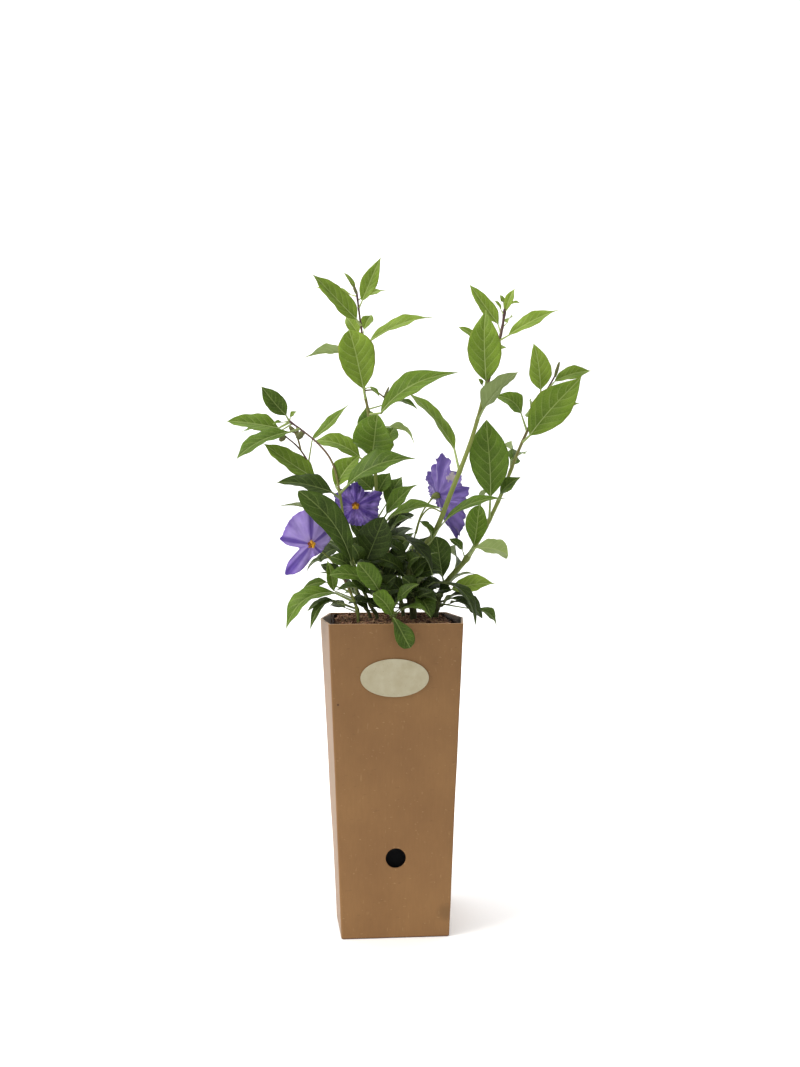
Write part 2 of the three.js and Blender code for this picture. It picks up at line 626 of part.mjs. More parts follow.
const plantNodes = {
  centre_stem: [centreStem, withStem(centreStem, 14, [
    ...centreLeaves(), ...centreTips(),
    ...fanLeaves(centreStem, [288, 331], 94, 20, 26, 12),
    bloomStalk(centreStem, 214, [[-18, 226, 6], [-24, 240, 2]], middleBloom, 0.55),
  ])],
  right_stem: [rightStem, withStem(rightStem, 12, [
    ...rightLeaves(),
    ...fanLeaves(rightStem, [336], 94, 10, 24, 11),
    ...fanLeaves(rightStem, [187, 193, 200], -40, 40, 18, 9),
    bloomStalk(rightStem, 196, [[8, 222, 2], [13, 240, 8]], rightBloom, 0.55),
  ])],
  far_right_stem: [farStem, withStem(farStem, 12, [
    ...farLeaves(), farTip(),
    ...fanLeaves(farStem, [300, 268, 232, 206], 86, 24, 28, 12),
    ...fanLeaves(farStem, [183, 191], 10, 60, 20, 9),
  ])],
  left_stem: [leftStem, withStem(leftStem, 14, leftLeaves())],
  budded_stem: [buddedStem, withStem(buddedStem, 12, [
    ...buddedLeaves(),
    ...fanLeaves(buddedStem, [183, 190, 206, 234], 150, 60, 24, 11),
  ])],
  low_left_spray: [lowLeftStem, withStem(lowLeftStem, 6, [
    ...lowLeftLeaves(),
    bloomStalk(lowLeftStem, 205, [[-43, 214, -4], [-49, 219, -7]], leftBloom, 0.55),
  ])],
  front_spray: [frontStem, withStem(frontStem, 6, frontLeaves())],
  rear_spray: [rearStem, withStem(rearStem, 8, rearSpray())],
};

// Card sleeve

function sleeveRing(share, height, inset) {
  const halfWidth = lerp(sleeveFoot.halfWidth, sleeveTop.halfWidth, share) - inset;
  const halfDepth = lerp(sleeveFoot.halfDepth, sleeveTop.halfDepth, share) - inset;
  const crease = lerp(sleeveFoot.crease, sleeveTop.crease, share);
  return [
    new THREE.Vector3(-halfWidth, -halfDepth, height),
    new THREE.Vector3(halfWidth, -halfDepth, height),
    new THREE.Vector3(halfWidth + crease, 0, height),
    new THREE.Vector3(halfWidth, halfDepth, height),
    new THREE.Vector3(-halfWidth, halfDepth, height),
    new THREE.Vector3(-halfWidth - crease, 0, height),
  ];
}

function sleeveSolid() {
  const outside = solid(skin([sleeveRing(0, 0, 0), sleeveRing(1, sleeveHeight, 0)]));
  const floorShare = board / sleeveHeight;
  const over = 1 + floorShare;
  const inside = solid(skin([
    sleeveRing(floorShare, board, board), sleeveRing(over, sleeveHeight * over, board),
  ]));
  const punch = new THREE.CylinderGeometry(holeRadius, holeRadius, 12, 32);
  punch.translate(0, -sleeveFoot.halfDepth, holeHeight);
  return outside.subtract(inside).subtract(solid(punch));
}

// The front panel leans outwards as it rises
const panelLean = Math.atan2(sleeveTop.halfDepth - sleeveFoot.halfDepth, sleeveHeight);

function labelSolid() {
  const outline = new THREE.Shape();
  outline.absellipse(0, 0, labelSize.width / 2, labelSize.height / 2, 0, 2 * Math.PI);
  const plate = new THREE.ExtrudeGeometry(outline, {
    depth: labelSize.thickness, bevelEnabled: false, curveSegments: 14,
  });
  plate.rotateX(Math.PI / 2 + panelLean);
  const share = labelSize.centre / sleeveHeight;
  const panel = lerp(sleeveFoot.halfDepth, sleeveTop.halfDepth, share);
  plate.translate(labelSize.side, -panel - seatGap / Math.cos(panelLean), labelSize.centre);
  return solid(plate);
}

// Nursery pot and soil

// A square ring with rounded corners
function roundedRing(halfWidth, corner, height) {
  const ring = [];
  const cornerSteps = 3;
  for (let quarter = 0; quarter < 4; quarter++) {
    for (let i = 0; i <= cornerSteps; i++) {
      const angle = (Math.PI / 2) * (quarter + i / cornerSteps);
      const turn = (Math.PI / 2) * quarter + Math.PI / 4;
      const middle = (halfWidth - corner) * Math.SQRT2;
      ring.push(new THREE.Vector3(
        middle * Math.cos(turn) + corner * Math.cos(angle),
        middle * Math.sin(turn) + corner * Math.sin(angle),
        height,
      ));
    }
  }
  return ring;
}

const potHalfWidth = (height) =>
  lerp(potFoot.halfWidth, potTop.halfWidth, (height - potFoot.height) / (potTop.height - potFoot.height));

function potSolid() {
  const outside = solid(skin([
    roundedRing(potFoot.halfWidth, potCorner, potFoot.height),
    roundedRing(potTop.halfWidth, potCorner, potTop.height),
  ]));
  const floor = potFoot.height + potWall;
  const over = potTop.height + potWall;
  const inside = solid(skin([
    roundedRing(potHalfWidth(floor) - potWall, potCorner - potWall, floor),
    roundedRing(potHalfWidth(over) - potWall, potCorner - potWall, over),
  ]));
  const drainSpread = potFoot.halfWidth * 0.55;
  const drains = [[0, 0], [1, 1], [1, -1], [-1, 1], [-1, -1]].map(([x, y]) => {
    const drain = new THREE.CylinderGeometry(drainRadius, drainRadius, 8, 8);
    drain.rotateX(Math.PI / 2);
    drain.translate(x * drainSpread, y * drainSpread, potFoot.height);
    return solid(drain);
  });
  return outside.subtract(fuse([inside, ...drains]));
}

// Height of the crumbled top of the soil
const soilHeight = (x, y) =>
  soilTop + soilSwell * (0.6 * Math.sin(0.23 * x + 0.9) * Math.cos(0.19 * y) + 0.4 * Math.sin(0.61 * y + 0.37 * x));

function soilSolid(stems) {
  const floor = potFoot.height + potWall + fitGap;
  const inset = potWall + fitGap;
  const corner = potCorner - potWall;
  const rings = [roundedRing(potHalfWidth(floor) - inset, corner, floor)];
  for (const share of [1, 0.75, 0.5, 0.25]) {
    const ring = roundedRing((potHalfWidth(soilTop) - inset) * share, corner * share, soilTop);
    ring.forEach((p) => p.setZ(soilHeight(p.x, p.y) - (share === 1 ? soilSwell : 0)));
    rings.push(ring);
  }
  const holes = stems.map(({ foot, footRadius }) => {
    const radius = footRadius + stemClearance;
    const hole = new THREE.CylinderGeometry(radius, radius, 2 * stemSink, 8);
    hole.rotateX(Math.PI / 2);
    hole.translate(foot.x, foot.y, soilTop - seatGap);
    return solid(hole);
  });
  return solid(skin(rings)).subtract(fuse(holes));
}

// Scene graph

const finishes = {
  kraftBoard: { color: '#93714b', roughness: 0.85, metalness: 0 },
  labelPaper: { color: '#b9b09a', roughness: 0.75, metalness: 0 },
  blackPlastic: { color: '#15161a', roughness: 0.45, metalness: 0 },
  peat: { color: '#5b4030', roughness: 0.95, metalness: 0 },
  foliage: { color: '#4f7a22', roughness: 0.55, metalness: 0 },
  petal: { color: '#7b62b4', roughness: 0.6, metalness: 0 },
  anther: { color: '#d08a1e', roughness: 0.55, metalness: 0 },
};

const group = new THREE.Group();

function add(name, shape, finish) {
  const mesh = new THREE.Mesh(geometryOf(shape), new THREE.MeshStandardMaterial(finishes[finish]));
  mesh.name = name;
  group.add(mesh);
}

add('card_sleeve', sleeveSolid(), 'kraftBoard');
add('oval_label', labelSolid(), 'labelPaper');
add('nursery_pot', potSolid(), 'blackPlastic');
add('soil', soilSolid(Object.values(plantNodes).map(([stem]) => stem)), 'peat');
for (const [name, [, shape]] of Object.entries(plantNodes)) add(name, shape, 'foliage');
for (const [side, bloom] of Object.entries({ left: leftBloom, middle: middleBloom, right: rightBloom })) {
  add(`${side}_corolla`, corolla(bloom), 'petal');
  add(`${side}_anthers`, antherCone(bloom), 'anther');
}

export default group;
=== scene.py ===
import math

import bpy
import numpy as np
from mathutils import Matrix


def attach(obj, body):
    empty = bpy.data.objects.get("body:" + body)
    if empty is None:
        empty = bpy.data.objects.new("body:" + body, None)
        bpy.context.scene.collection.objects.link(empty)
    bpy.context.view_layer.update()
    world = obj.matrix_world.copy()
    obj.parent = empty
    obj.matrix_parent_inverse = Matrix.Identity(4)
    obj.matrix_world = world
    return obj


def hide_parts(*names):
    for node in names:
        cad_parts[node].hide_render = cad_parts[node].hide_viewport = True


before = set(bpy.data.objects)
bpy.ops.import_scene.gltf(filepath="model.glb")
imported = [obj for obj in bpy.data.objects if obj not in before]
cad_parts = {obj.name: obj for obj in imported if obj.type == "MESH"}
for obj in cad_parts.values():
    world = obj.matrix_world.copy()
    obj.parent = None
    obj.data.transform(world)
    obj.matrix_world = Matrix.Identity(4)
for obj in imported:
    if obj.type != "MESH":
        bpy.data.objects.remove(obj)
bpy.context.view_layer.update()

# Camera
# The photograph was taken level, a little above the rim of the sleeve and from close by, so that the
# sleeve's foot is seen from above. The sleeve is turned a little to the line of sight.
# Lengths here are in mm, which MM turns to the scene's metres.
MM = 0.001
EYE_DISTANCE = 561.0
EYE_HEIGHT = 228.0
EYE_SHIFT = 4.75
POT_TURN = math.radians(4.1)
FOCAL_SHARE = 940 / 1067
SENSOR = 36.0
NEAREST_SEEN = 10.0


def place(across, height, depth):
    """The point in the part's frame, in mm, that shows at `across` and `height` in the upright plane
    through the pot's axis, carried along the line of sight to its depth behind that plane."""
    reach = (EYE_DISTANCE + depth) / EYE_DISTANCE
    side = across * reach + EYE_SHIFT
    up = EYE_HEIGHT + (height - EYE_HEIGHT) * reach
    c, s = math.cos(POT_TURN), math.sin(POT_TURN)
    return np.array([side * c + depth * s, depth * c - side * s, up])


EYE = place(0, EYE_HEIGHT, -EYE_DISTANCE)

camera_data = bpy.data.cameras.new("camera")
camera_data.sensor_width = SENSOR
camera_data.lens = SENSOR * FOCAL_SHARE
camera_data.clip_start = NEAREST_SEEN * MM
camera = bpy.data.objects.new("camera", camera_data)
camera.location = EYE * MM
camera.rotation_euler = (math.pi / 2, 0, -POT_TURN)
bpy.context.scene.collection.objects.link(camera)
bpy.context.scene.camera = camera

# Floor and light
# A white paper sweep that rises behind the plant, lit by the bright walls all round, by a large soft
# lamp at the upper left and by a second one for the backdrop, as a small product studio has it.
SWEEP_WIDTH = 6000.0
SWEEP_FRONT = -3000.0
SWEEP_BACK = 1600.0
SWEEP_RADIUS = 900.0
SWEEP_TOP = 4000.0
WALL_LIGHT = 0.85


def linear(hex_colour):
    """An sRGB hex colour as linear RGBA: each channel c becomes ((c + 0.055) / 1.055) ** 2.4."""
    channels = [int(hex_colour[i:i + 2], 16) / 255 for i in (1, 3, 5)]
    return (*[c / 12.92 if c <= 0.04045 else ((c + 0.055) / 1.055) ** 2.4 for c in channels], 1.0)


def add_node(tree, kind, inputs=(), output=None, stops=(), **settings):
    """Adds one shader node and gives back its named output, or else its first one. Each input in use
    gets, in order, a value, a hex colour or the socket that feeds it, and None leaves it as it is: a
    noise takes (place, scale, detail), a mix (share, first, second) and a map range (value, from, from,
    to, to). The stops of a ramp are its places and colours."""
    node = tree.nodes.new("ShaderNode" + kind)
    for key, value in settings.items():
        setattr(node, key, value)
    for i, (position, colour) in enumerate(stops):
        stop = node.color_ramp.elements[i] if i < 2 else node.color_ramp.elements.new(position)
        stop.position = position
        stop.color = linear(colour)
    for socket, source in zip([socket for socket in node.inputs if socket.enabled], inputs):
        if isinstance(source, bpy.types.NodeSocket):
            tree.links.new(source, socket)
        elif source is not None:
            socket.default_value = linear(source) if isinstance(source, str) else source
    return node.outputs[output] if output else next(socket for socket in node.outputs if socket.enabled)


def start_material(name, roughness, specular):
    """A new material with its tree and shader."""
    material = bpy.data.materials.new(name)
    material.use_nodes = True
    shader = material.node_tree.nodes["Principled BSDF"]
    shader.inputs["Roughness"].default_value = roughness
    shader.inputs["Specular IOR Level"].default_value = specular
    return material, material.node_tree, shader


def finish_material(tree, shader, colour, relief, strength, depth):
    """Links a material's colour, and its fine relief as a bump of that depth in mm."""
    tree.links.new(colour, shader.inputs["Base Color"])
    tree.links.new(add_node(tree, "Bump", (strength, depth * MM, None, relief)), shader.inputs["Normal"])


def build_mesh(name, part, material):
    """A smooth-shaded mesh object of a part, which is points in mm, lists of faces and named
    attributes, each one number for all points or one for every point."""
    points, faces, attributes = part
    mesh = bpy.data.meshes.new(name)
    mesh.from_pydata((points * MM).tolist(), [], faces)
    for key, values in attributes.items():
        attribute = mesh.attributes.new(key, "FLOAT", "POINT")
        attribute.data.foreach_set("value", np.array(np.broadcast_to(values, len(points)), np.float32))
    mesh.polygons.foreach_set("use_smooth", np.ones(len(mesh.polygons), bool))
    mesh.materials.append(material)
    mesh.update()
    piece = bpy.data.objects.new(name, mesh)
    bpy.context.scene.collection.objects.link(piece)
    return piece


def grid_faces(rows, columns, wrap=False):
    """Quads of a grid of points: a, a + one row, both moved on by one column."""
    i = np.arange(rows - 1)[:, None]
    j = np.arange(columns if wrap else columns - 1)[None, :]
    after = (j + 1) % columns
    return np.stack(np.broadcast_arrays(i * columns + j, (i + 1) * columns + j, (i + 1) * columns + after,
                                        i * columns + after), -1).reshape(-1, 4)


paper_sweep, tree, shader = start_material("matt white paper", 0.9, 0.1)
shader.inputs["Base Color"].default_value = linear("#FFFFFF")

bend = np.linspace(0, math.pi / 2, 24)
sweep_back = np.array([SWEEP_FRONT, *(SWEEP_BACK + SWEEP_RADIUS * np.sin(bend)), SWEEP_BACK + SWEEP_RADIUS])
sweep_up = np.array([0.0, *(SWEEP_RADIUS * (1 - np.cos(bend))), SWEEP_TOP])
sweep_sides = np.array([-SWEEP_WIDTH, SWEEP_WIDTH]) / 2
sweep_points = np.stack(np.broadcast_arrays(
    sweep_sides[None, :], sweep_back[:, None], sweep_up[:, None]), -1).reshape(-1, 3)
sweep_faces = grid_faces(len(sweep_back), 2)[:, ::-1].tolist()
sweep = build_mesh("studio_sweep", (sweep_points, sweep_faces, {}), paper_sweep)

world = bpy.data.worlds.new("bright walls")
world.use_nodes = True
world.node_tree.nodes["Background"].inputs["Color"].default_value = linear("#FFFFFF")
world.node_tree.nodes["Background"].inputs["Strength"].default_value = WALL_LIGHT
bpy.context.scene.world = world
bpy.context.scene.view_settings.view_transform = "Standard"

for lamp_name, spot, target, size, power, colour in (
        ("key lamp", (-1.4, -0.45, 1.4), (0.0, 0.0, 0.2), 1.0, 30, "#FFFBF4"),
        ("backdrop lamp", (0.0, 0.7, 2.2), (0.0, 2.4, 0.6), 1.6, 30, "#FFFFFF")):
    lamp_data = bpy.data.lights.new(lamp_name, "AREA")
    lamp_data.size = size
    lamp_data.energy = power
    lamp_data.color = linear(colour)[:3]
    lamp = bpy.data.objects.new(lamp_name, lamp_data)
    aim = np.array(target) - np.array(spot)
    tilt = math.atan2(math.hypot(aim[0], aim[1]), -aim[2])
    lamp.location = spot
    lamp.rotation_euler = (tilt, 0, math.atan2(aim[1], aim[0]) - math.pi / 2)
    bpy.context.scene.collection.objects.link(lamp)

# Card sleeve
# A square tube of brown recycled board that narrows downwards, folded from one sheet, with a crease
# down the middle of each side panel, a plain floor and a round finger hole punched low in the front.
SLEEVE_HEIGHT = 177.8
SLEEVE_TOP = np.array([37.65, 38.7, 5.1])
SLEEVE_FOOT = np.array([30.5, 31.4, 2.4])
BOARD = 1.2
FOLD_RADIUS = 1.1
FOOT_EASE = (0.45, 0.5)
RIM_EASE = (0.3, 0.25)
FOOT_SHADOW_HEIGHT = 0.9
HOLE_RADIUS = 5.7
HOLE_HEIGHT = 45.6
HOLE_SIDES = 72
PUNCH_REACH = (-40.0, -25.0)
SLEEVE_RINGS = 46
PER_PANEL = 9
PER_FOLD = 5
SLEEVE_CREASE = math.radians(35)


def ring_faces(rings, count):
    """Faces of rings of points: quads from each ring to the next and a face across each end. They
    point outwards where the points go anticlockwise about the way that the rings follow each other."""
    first = np.arange(count)
    return [*grid_faces(rings, count, wrap=True)[:, ::-1].tolist(),
            first[::-1].tolist(), (first + (rings - 1) * count).tolist()]


def folded_ring(share, inset):
    """One level of the sleeve: each of its six corners b rounded to the parabola (1-t)^2 a + 2t(1-t) b
    + t^2 c that runs from panel to panel inside it, and evenly spaced points along the panels."""
    width, depth, crease = SLEEVE_FOOT * (1 - share) + SLEEVE_TOP * share - (inset, inset, 0)
    corners = np.array([(-width, -depth), (width, -depth), (width + crease, 0),
                        (width, depth), (-width, depth), (-width - crease, 0)])
    out = np.roll(corners, -1, axis=0) - corners
    out /= np.linalg.norm(out, axis=1)[:, None]
    into = np.roll(out, 1, axis=0)
    half_turn = np.arccos(np.clip((into * out).sum(axis=1), -1, 1)) / 2
    reach = FOLD_RADIUS * np.tan(half_turn)[:, None]
    start, end = (corners - into * reach)[:, None], (corners + out * reach)[:, None]
    t = np.linspace(0, 1, PER_FOLD)[:, None]
    arcs = (1 - t) ** 2 * start + 2 * t * (1 - t) * corners[:, None] + t ** 2 * end
    along = np.linspace(0, 1, PER_PANEL + 2)[1:-1, None]
    panels = end + (np.roll(start, -1, axis=0) - end) * along
    return np.concatenate([arcs, panels], axis=1).reshape(-1, 2)


def panel_wave(ring, height):
    """A board panel is never quite flat: three slow waves move it in and out by a few tenths."""
    x, y = ring[:, 0], ring[:, 1]
    wave = (0.16 * np.sin(0.075 * x + 0.031 * height + 0.5) * np.sin(0.043 * height + 0.02 * y)
            + 0.1 * np.sin(0.11 * y - 0.052 * height) + 0.05 * np.sin(0.21 * x + 0.13 * height))
    outward = ring / np.linalg.norm(ring, axis=1)[:, None]
    return ring + outward * (wave * math.sin(math.pi * height / SLEEVE_HEIGHT) - 0.1)[:, None]


def sleeve_part():
    """The outer wall from the foot to the rim, over the rim and down the inner wall to the floor."""
    heights = np.linspace(0, SLEEVE_HEIGHT, SLEEVE_RINGS)
    under_rim = SLEEVE_HEIGHT - RIM_EASE[1]
    levels = [(0, FOOT_EASE[0], 0.0)]
    levels += [(h / SLEEVE_HEIGHT, 0.0, h) for h in (FOOT_EASE[1], *heights[1:-1])]
    levels += [(1, 0.0, under_rim), (1, RIM_EASE[0], SLEEVE_HEIGHT), (1, BOARD - RIM_EASE[0], SLEEVE_HEIGHT)]
    levels += [(h / SLEEVE_HEIGHT, BOARD, h) for h in (under_rim, *heights[-2:0:-1], BOARD)]
    rings = []
    for share, inset, height in levels:
        ring = panel_wave(folded_ring(share, inset), height)
        rings.append(np.column_stack([ring, np.full(len(ring), height)]))
    cut = [float(0 < inset < BOARD and height > 0) for _, inset, height in levels]
    return (np.concatenate(rings), ring_faces(len(rings), len(rings[0])),
            {"cut": np.repeat(cut, len(rings[0]))})


def tube_part(path, radii, sides, **attributes):
    """A tube: at each station of the path a ring of points at its radius, in the plane square to the
    path, and a face across each end."""
    tangent = np.gradient(path, axis=0)
    tangent /= np.linalg.norm(tangent, axis=1)[:, None]
    steady = np.eye(3)[np.argmin(np.abs(tangent).max(axis=0))]
    normal = np.cross(tangent, steady)
    normal /= np.linalg.norm(normal, axis=1)[:, None]
    binormal = np.cross(tangent, normal)
    angle = np.linspace(0, 2 * math.pi, sides, endpoint=False)[None, :, None]
    radii = np.broadcast_to(np.asarray(radii, float), len(path))[:, None, None]
    rings = path[:, None] + radii * (normal[:, None] * np.cos(angle) + binormal[:, None] * np.sin(angle))
    return rings.reshape(-1, 3), ring_faces(len(path), sides), attributes


# Recycled kraft board, pressed from pulp and calendered: warm brown with slow mottling, short pale and
# dark fibres that lie every way, two small stains, paler cut edges, a soft sheen at a slant and a painted
# shadow along its foot. Painted shade darkens it towards the rim. Here and below a pattern's scale is
# its number of cells to the mm. Fibres and pulp are drawn coarser than they are, so that they show.
kraft, tree, shader = start_material("recycled kraft board", 0.7, 0.3)
shader.inputs["Sheen Weight"].default_value = 0.25
shader.inputs["Sheen Roughness"].default_value = 0.4
where = add_node(tree, "TexCoord", output="Object")
mottle = add_node(tree, "TexNoise", (where, 0.025 / MM, 6.0))
board = add_node(tree, "ValToRGB", (mottle,), stops=((0.35, "#785632"), (0.68, "#836039")))
drawn_out = add_node(tree, "Mapping", (where, None, None, (1.0, 1.0, 0.16)))
grain = add_node(tree, "TexNoise", (drawn_out, 0.9 / MM, 2.0))
grain_shade = add_node(tree, "MapRange", (grain, 0.3, 0.7, 0.97, 1.03))
board = add_node(tree, "VectorMath", (board, grain_shade), operation="MULTIPLY")
for per_mm, squeeze, fades_in, full, colour in (
        (0.62, (1.0, 1.0, 0.3), 0.71, 0.76, "#9E7E55"),
        (0.56, (0.35, 1.0, 1.0), 0.73, 0.77, "#5C4127"),
        (0.9, (0.5, 1.0, 1.0), 0.72, 0.76, "#B39468")):
    turned = add_node(tree, "Mapping", (where, None, (300 * per_mm, 0.7, 200 * per_mm), squeeze))
    fibre = add_node(tree, "TexNoise", (turned, per_mm / MM, 1.0))
    shown = add_node(tree, "MapRange", (fibre, fades_in, full, 0.0, 0.25))
    board = add_node(tree, "Mix", (shown, board, colour), data_type="RGBA")
for stain, reach, colour, strength in (
        ((28.3, -32.4, 14.0), 6.0, "#5A4224", 0.4), ((-32.4, -36.9, 132.8), 0.9, "#33241A", 0.8)):
    away = add_node(tree, "VectorMath", (where, tuple(MM * v for v in stain)), operation="DISTANCE")
    shown = add_node(tree, "MapRange", (away, reach * MM, 0.4 * reach * MM, 0.0, strength))
    board = add_node(tree, "Mix", (shown, board, colour), data_type="RGBA")
level = add_node(tree, "SeparateXYZ", (where,), output="Z")
# Painted shade: the board is drawn lighter at the foot and darker towards the rim, as the light falls
rim_painted_shade = add_node(tree, "MapRange", (level, 0.0, SLEEVE_HEIGHT * MM, 1.1, 0.82))
board = add_node(tree, "VectorMath", (board, rim_painted_shade), operation="MULTIPLY")
cut_edge = add_node(tree, "Attribute", output="Fac", attribute_name="cut")
board = add_node(tree, "Mix", (cut_edge, board, "#9C7A52"), data_type="RGBA")
# Painted shadow: a dark line along the foot, where the board meets the floor
foot_painted_shadow = add_node(tree, "MapRange", (level, FOOT_SHADOW_HEIGHT * MM, 0.5 * FOOT_SHADOW_HEIGHT * MM, 0.0, 0.75))
board = add_node(tree, "Mix", (foot_painted_shadow, board, "#4C2A20"), data_type="RGBA")
pulp = add_node(tree, "TexNoise", (where, 1.4 / MM, 4.0))
finish_material(tree, shader, board, pulp, 0.25, 0.1)

# The punched edge shows the paler core of the board
core, tree, shader = start_material("cut board core", 0.9, 0.2)
where = add_node(tree, "TexCoord", output="Object")
core_noise = add_node(tree, "TexNoise", (where, 1.5 / MM, 3.0))
core_colour = add_node(tree, "ValToRGB", (core_noise,), stops=((0.0, "#6B4C33"), (1.0, "#94714B")))
tree.links.new(core_colour, shader.inputs["Base Color"])

sleeve = build_mesh("kraft_sleeve", sleeve_part(), kraft)
punch_path = np.array([(0.0, y, HOLE_HEIGHT) for y in PUNCH_REACH])
punch = build_mesh("punch", tube_part(punch_path, HOLE_RADIUS, HOLE_SIDES), core)
cut_out = sleeve.modifiers.new("finger hole", "BOOLEAN")
cut_out.object = punch
cut_out.operation = "DIFFERENCE"
cut_out.solver = "EXACT"
cut_out.material_mode = "TRANSFER"
punched = bpy.data.meshes.new_from_object(sleeve.evaluated_get(bpy.context.evaluated_depsgraph_get()))
sleeve.modifiers.clear()
sleeve.data = punched
bpy.data.objects.remove(punch)
sleeve.data.set_sharp_from_angle(angle=SLEEVE_CREASE)
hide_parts("card_sleeve")
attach(sleeve, "root")

# Label
# An oval paper sticker, die-cut and pressed onto the front panel. The maker's lettering is left off,
# so its face is bare.
LABEL_WIDTH = 38.2
LABEL_HEIGHT = 21.3
LABEL_CENTRE = 147.6
LABEL_SIDE = -0.9
LABEL_FRONT = 0.85
LABEL_BACK = 0.2
LABEL_EASE = 0.15
LABEL_SIDES = 120
LABEL_CREASE = math.radians(50)


def label_part():
    """An oval plate: rings that grow across its back to its edge and shrink across its face, laid
    along the leaning panel."""
    lean = math.atan2(SLEEVE_TOP[1] - SLEEVE_FOOT[1], SLEEVE_HEIGHT)
    share = LABEL_CENTRE / SLEEVE_HEIGHT
    panel = SLEEVE_FOOT[1] * (1 - share) + SLEEVE_TOP[1] * share
    angle = np.linspace(0, 2 * math.pi, LABEL_SIDES, endpoint=False)
    rings = []
    for size, out in ((0.004, LABEL_BACK), (1.0, LABEL_BACK), (1.0, LABEL_FRONT - LABEL_EASE),
                      (0.994, LABEL_FRONT), (0.9, LABEL_FRONT), (0.45, LABEL_FRONT), (0.004, LABEL_FRONT)):
        across = size * LABEL_WIDTH / 2 * np.cos(angle)
        up = size * LABEL_HEIGHT / 2 * np.sin(angle)
        rings.append(np.column_stack([
            LABEL_SIDE + across, -panel - out * math.cos(lean) - up * math.sin(lean),
            LABEL_CENTRE + up * math.cos(lean) - out * math.sin(lean)]))
    return np.concatenate(rings), ring_faces(len(rings), LABEL_SIDES), {}


# Uncoated recycled paper, calendered: matt, warm grey-cream, with faint cloudy formation and specks
label_paper, tree, shader = start_material("uncoated recycled paper", 0.7, 0.35)
where = add_node(tree, "TexCoord", output="Object")
cloud = add_node(tree, "TexNoise", (where, 0.22 / MM, 4.0))
paper_colour = add_node(tree, "ValToRGB", (cloud,), stops=((0.3, "#9A9278"), (0.7, "#A49D85")))
speck = add_node(tree, "TexNoise", (where, 1.1 / MM, 0.0))
speck_shown = add_node(tree, "MapRange", (speck, 0.76, 0.8, 0.0, 0.35))
specked = add_node(tree, "Mix", (speck_shown, paper_colour, "#80775D"), data_type="RGBA")
finish_material(tree, shader, specked, cloud, 0.1, 0.1)

label = build_mesh("paper_label", label_part(), label_paper)
label.data.set_sharp_from_angle(angle=LABEL_CREASE)
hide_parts("oval_label")
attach(label, "root")

# Nursery pot
# A thin deep square pot, injection-moulded, that stands loose in the sleeve. It keeps its own solid.
# Black polypropylene with a fine moulded grain, dull scuffs from handling and peat dust on its rim.
DUST_FROM = 168.0
DUST_TO = 174.0
pot_plastic, tree, shader = start_material("moulded black polypropylene", 0.6, 0.05)
where = add_node(tree, "TexCoord", output="Object")
scuff = add_node(tree, "TexNoise", (where, 0.12 / MM, 5.0))
pot_colour = add_node(tree, "ValToRGB", (scuff,), stops=((0.0, "#060607"), (1.0, "#121213")))
pot_level = add_node(tree, "SeparateXYZ", (where,), output="Z")
near_rim = add_node(tree, "MapRange", (pot_level, DUST_FROM * MM, DUST_TO * MM, 0.0, 0.85))
dusted = add_node(tree, "Mix", (near_rim, pot_colour, "#33241A"), data_type="RGBA")
moulded = add_node(tree, "TexNoise", (where, 1.8 / MM, 2.0))
finish_material(tree, shader, dusted, moulded, 0.2, 0.1)
dull = add_node(tree, "MapRange", (scuff, 0.0, 1.0, 0.75, 0.95))
tree.links.new(dull, shader.inputs["Roughness"])
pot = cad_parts["nursery_pot"]
pot.data.materials.clear()
pot.data.materials.append(pot_plastic)

# Soil
# Moist peat with coir: a crumbled top a few millimetres under the pot's rim, loose crumbs on it and
# short brown fibres. It fills the pot to its floor.
POT_TOP = (35.9, 177.2)
POT_FOOT = (28.2, 1.55)
POT_WALL = 1.1
POT_CORNER = 6.0
FIT_GAP = 0.35
SOIL_TOP = 176.2
SOIL_SWELL = 1.4
SOIL_RINGS = 56
SOIL_SIDES = 168
CRUMBS = 900
CRUMB_SIZE = (0.35, 1.15)
CRUMB_DENT = 0.28
CRUMB_RINGS = 5
CRUMB_SIDES = 7
FIBRES = 230
FIBRE_LENGTH = (4, 11)
FIBRE_RADIUS = (0.1, 0.2)
FIBRE_BOW = 1.6
FIBRE_LIFT = 0.9


def pot_half_width(height):
    """Half the pot's width at a height: a straight taper from its foot to its top."""
    share = (height - POT_FOOT[1]) / (POT_TOP[1] - POT_FOOT[1])
    return POT_FOOT[0] + (POT_TOP[0] - POT_FOOT[0]) * share


def square_ring(half_width, corner):
    """A square with rounded corners, |x|^n + |y|^n = w^n, as a ring of points evenly spaced by angle."""
    angle = np.linspace(0, 2 * math.pi, SOIL_SIDES, endpoint=False)
    c, s = np.cos(angle), np.sin(angle)
    power = 2 + 10 * max(0.0, 1 - corner / half_width)
    size = half_width / (np.abs(c) ** power + np.abs(s) ** power) ** (1 / power)
    return np.column_stack([size * c, size * s])


def crumble(x, y):
    """The height of the crumbled surface: two slow swells of the bed and four finer ripples."""
    swell = SOIL_SWELL * (0.6 * np.sin(0.23 * x + 0.9) * np.cos(0.19 * y)
                          + 0.4 * np.sin(0.61 * y + 0.37 * x))
    fine = (0.35 * np.sin(1.3 * x + 0.7 * y) * np.sin(1.1 * y - 0.4 * x)
            + 0.22 * np.sin(2.7 * x - 1.9 * y + 1) + 0.16 * np.sin(3.9 * y + 2.3 * x)
            + 0.12 * np.sin(6.1 * x + 4.7 * y) * np.sin(5.3 * y - 3.3 * x))
    return SOIL_TOP + swell + fine


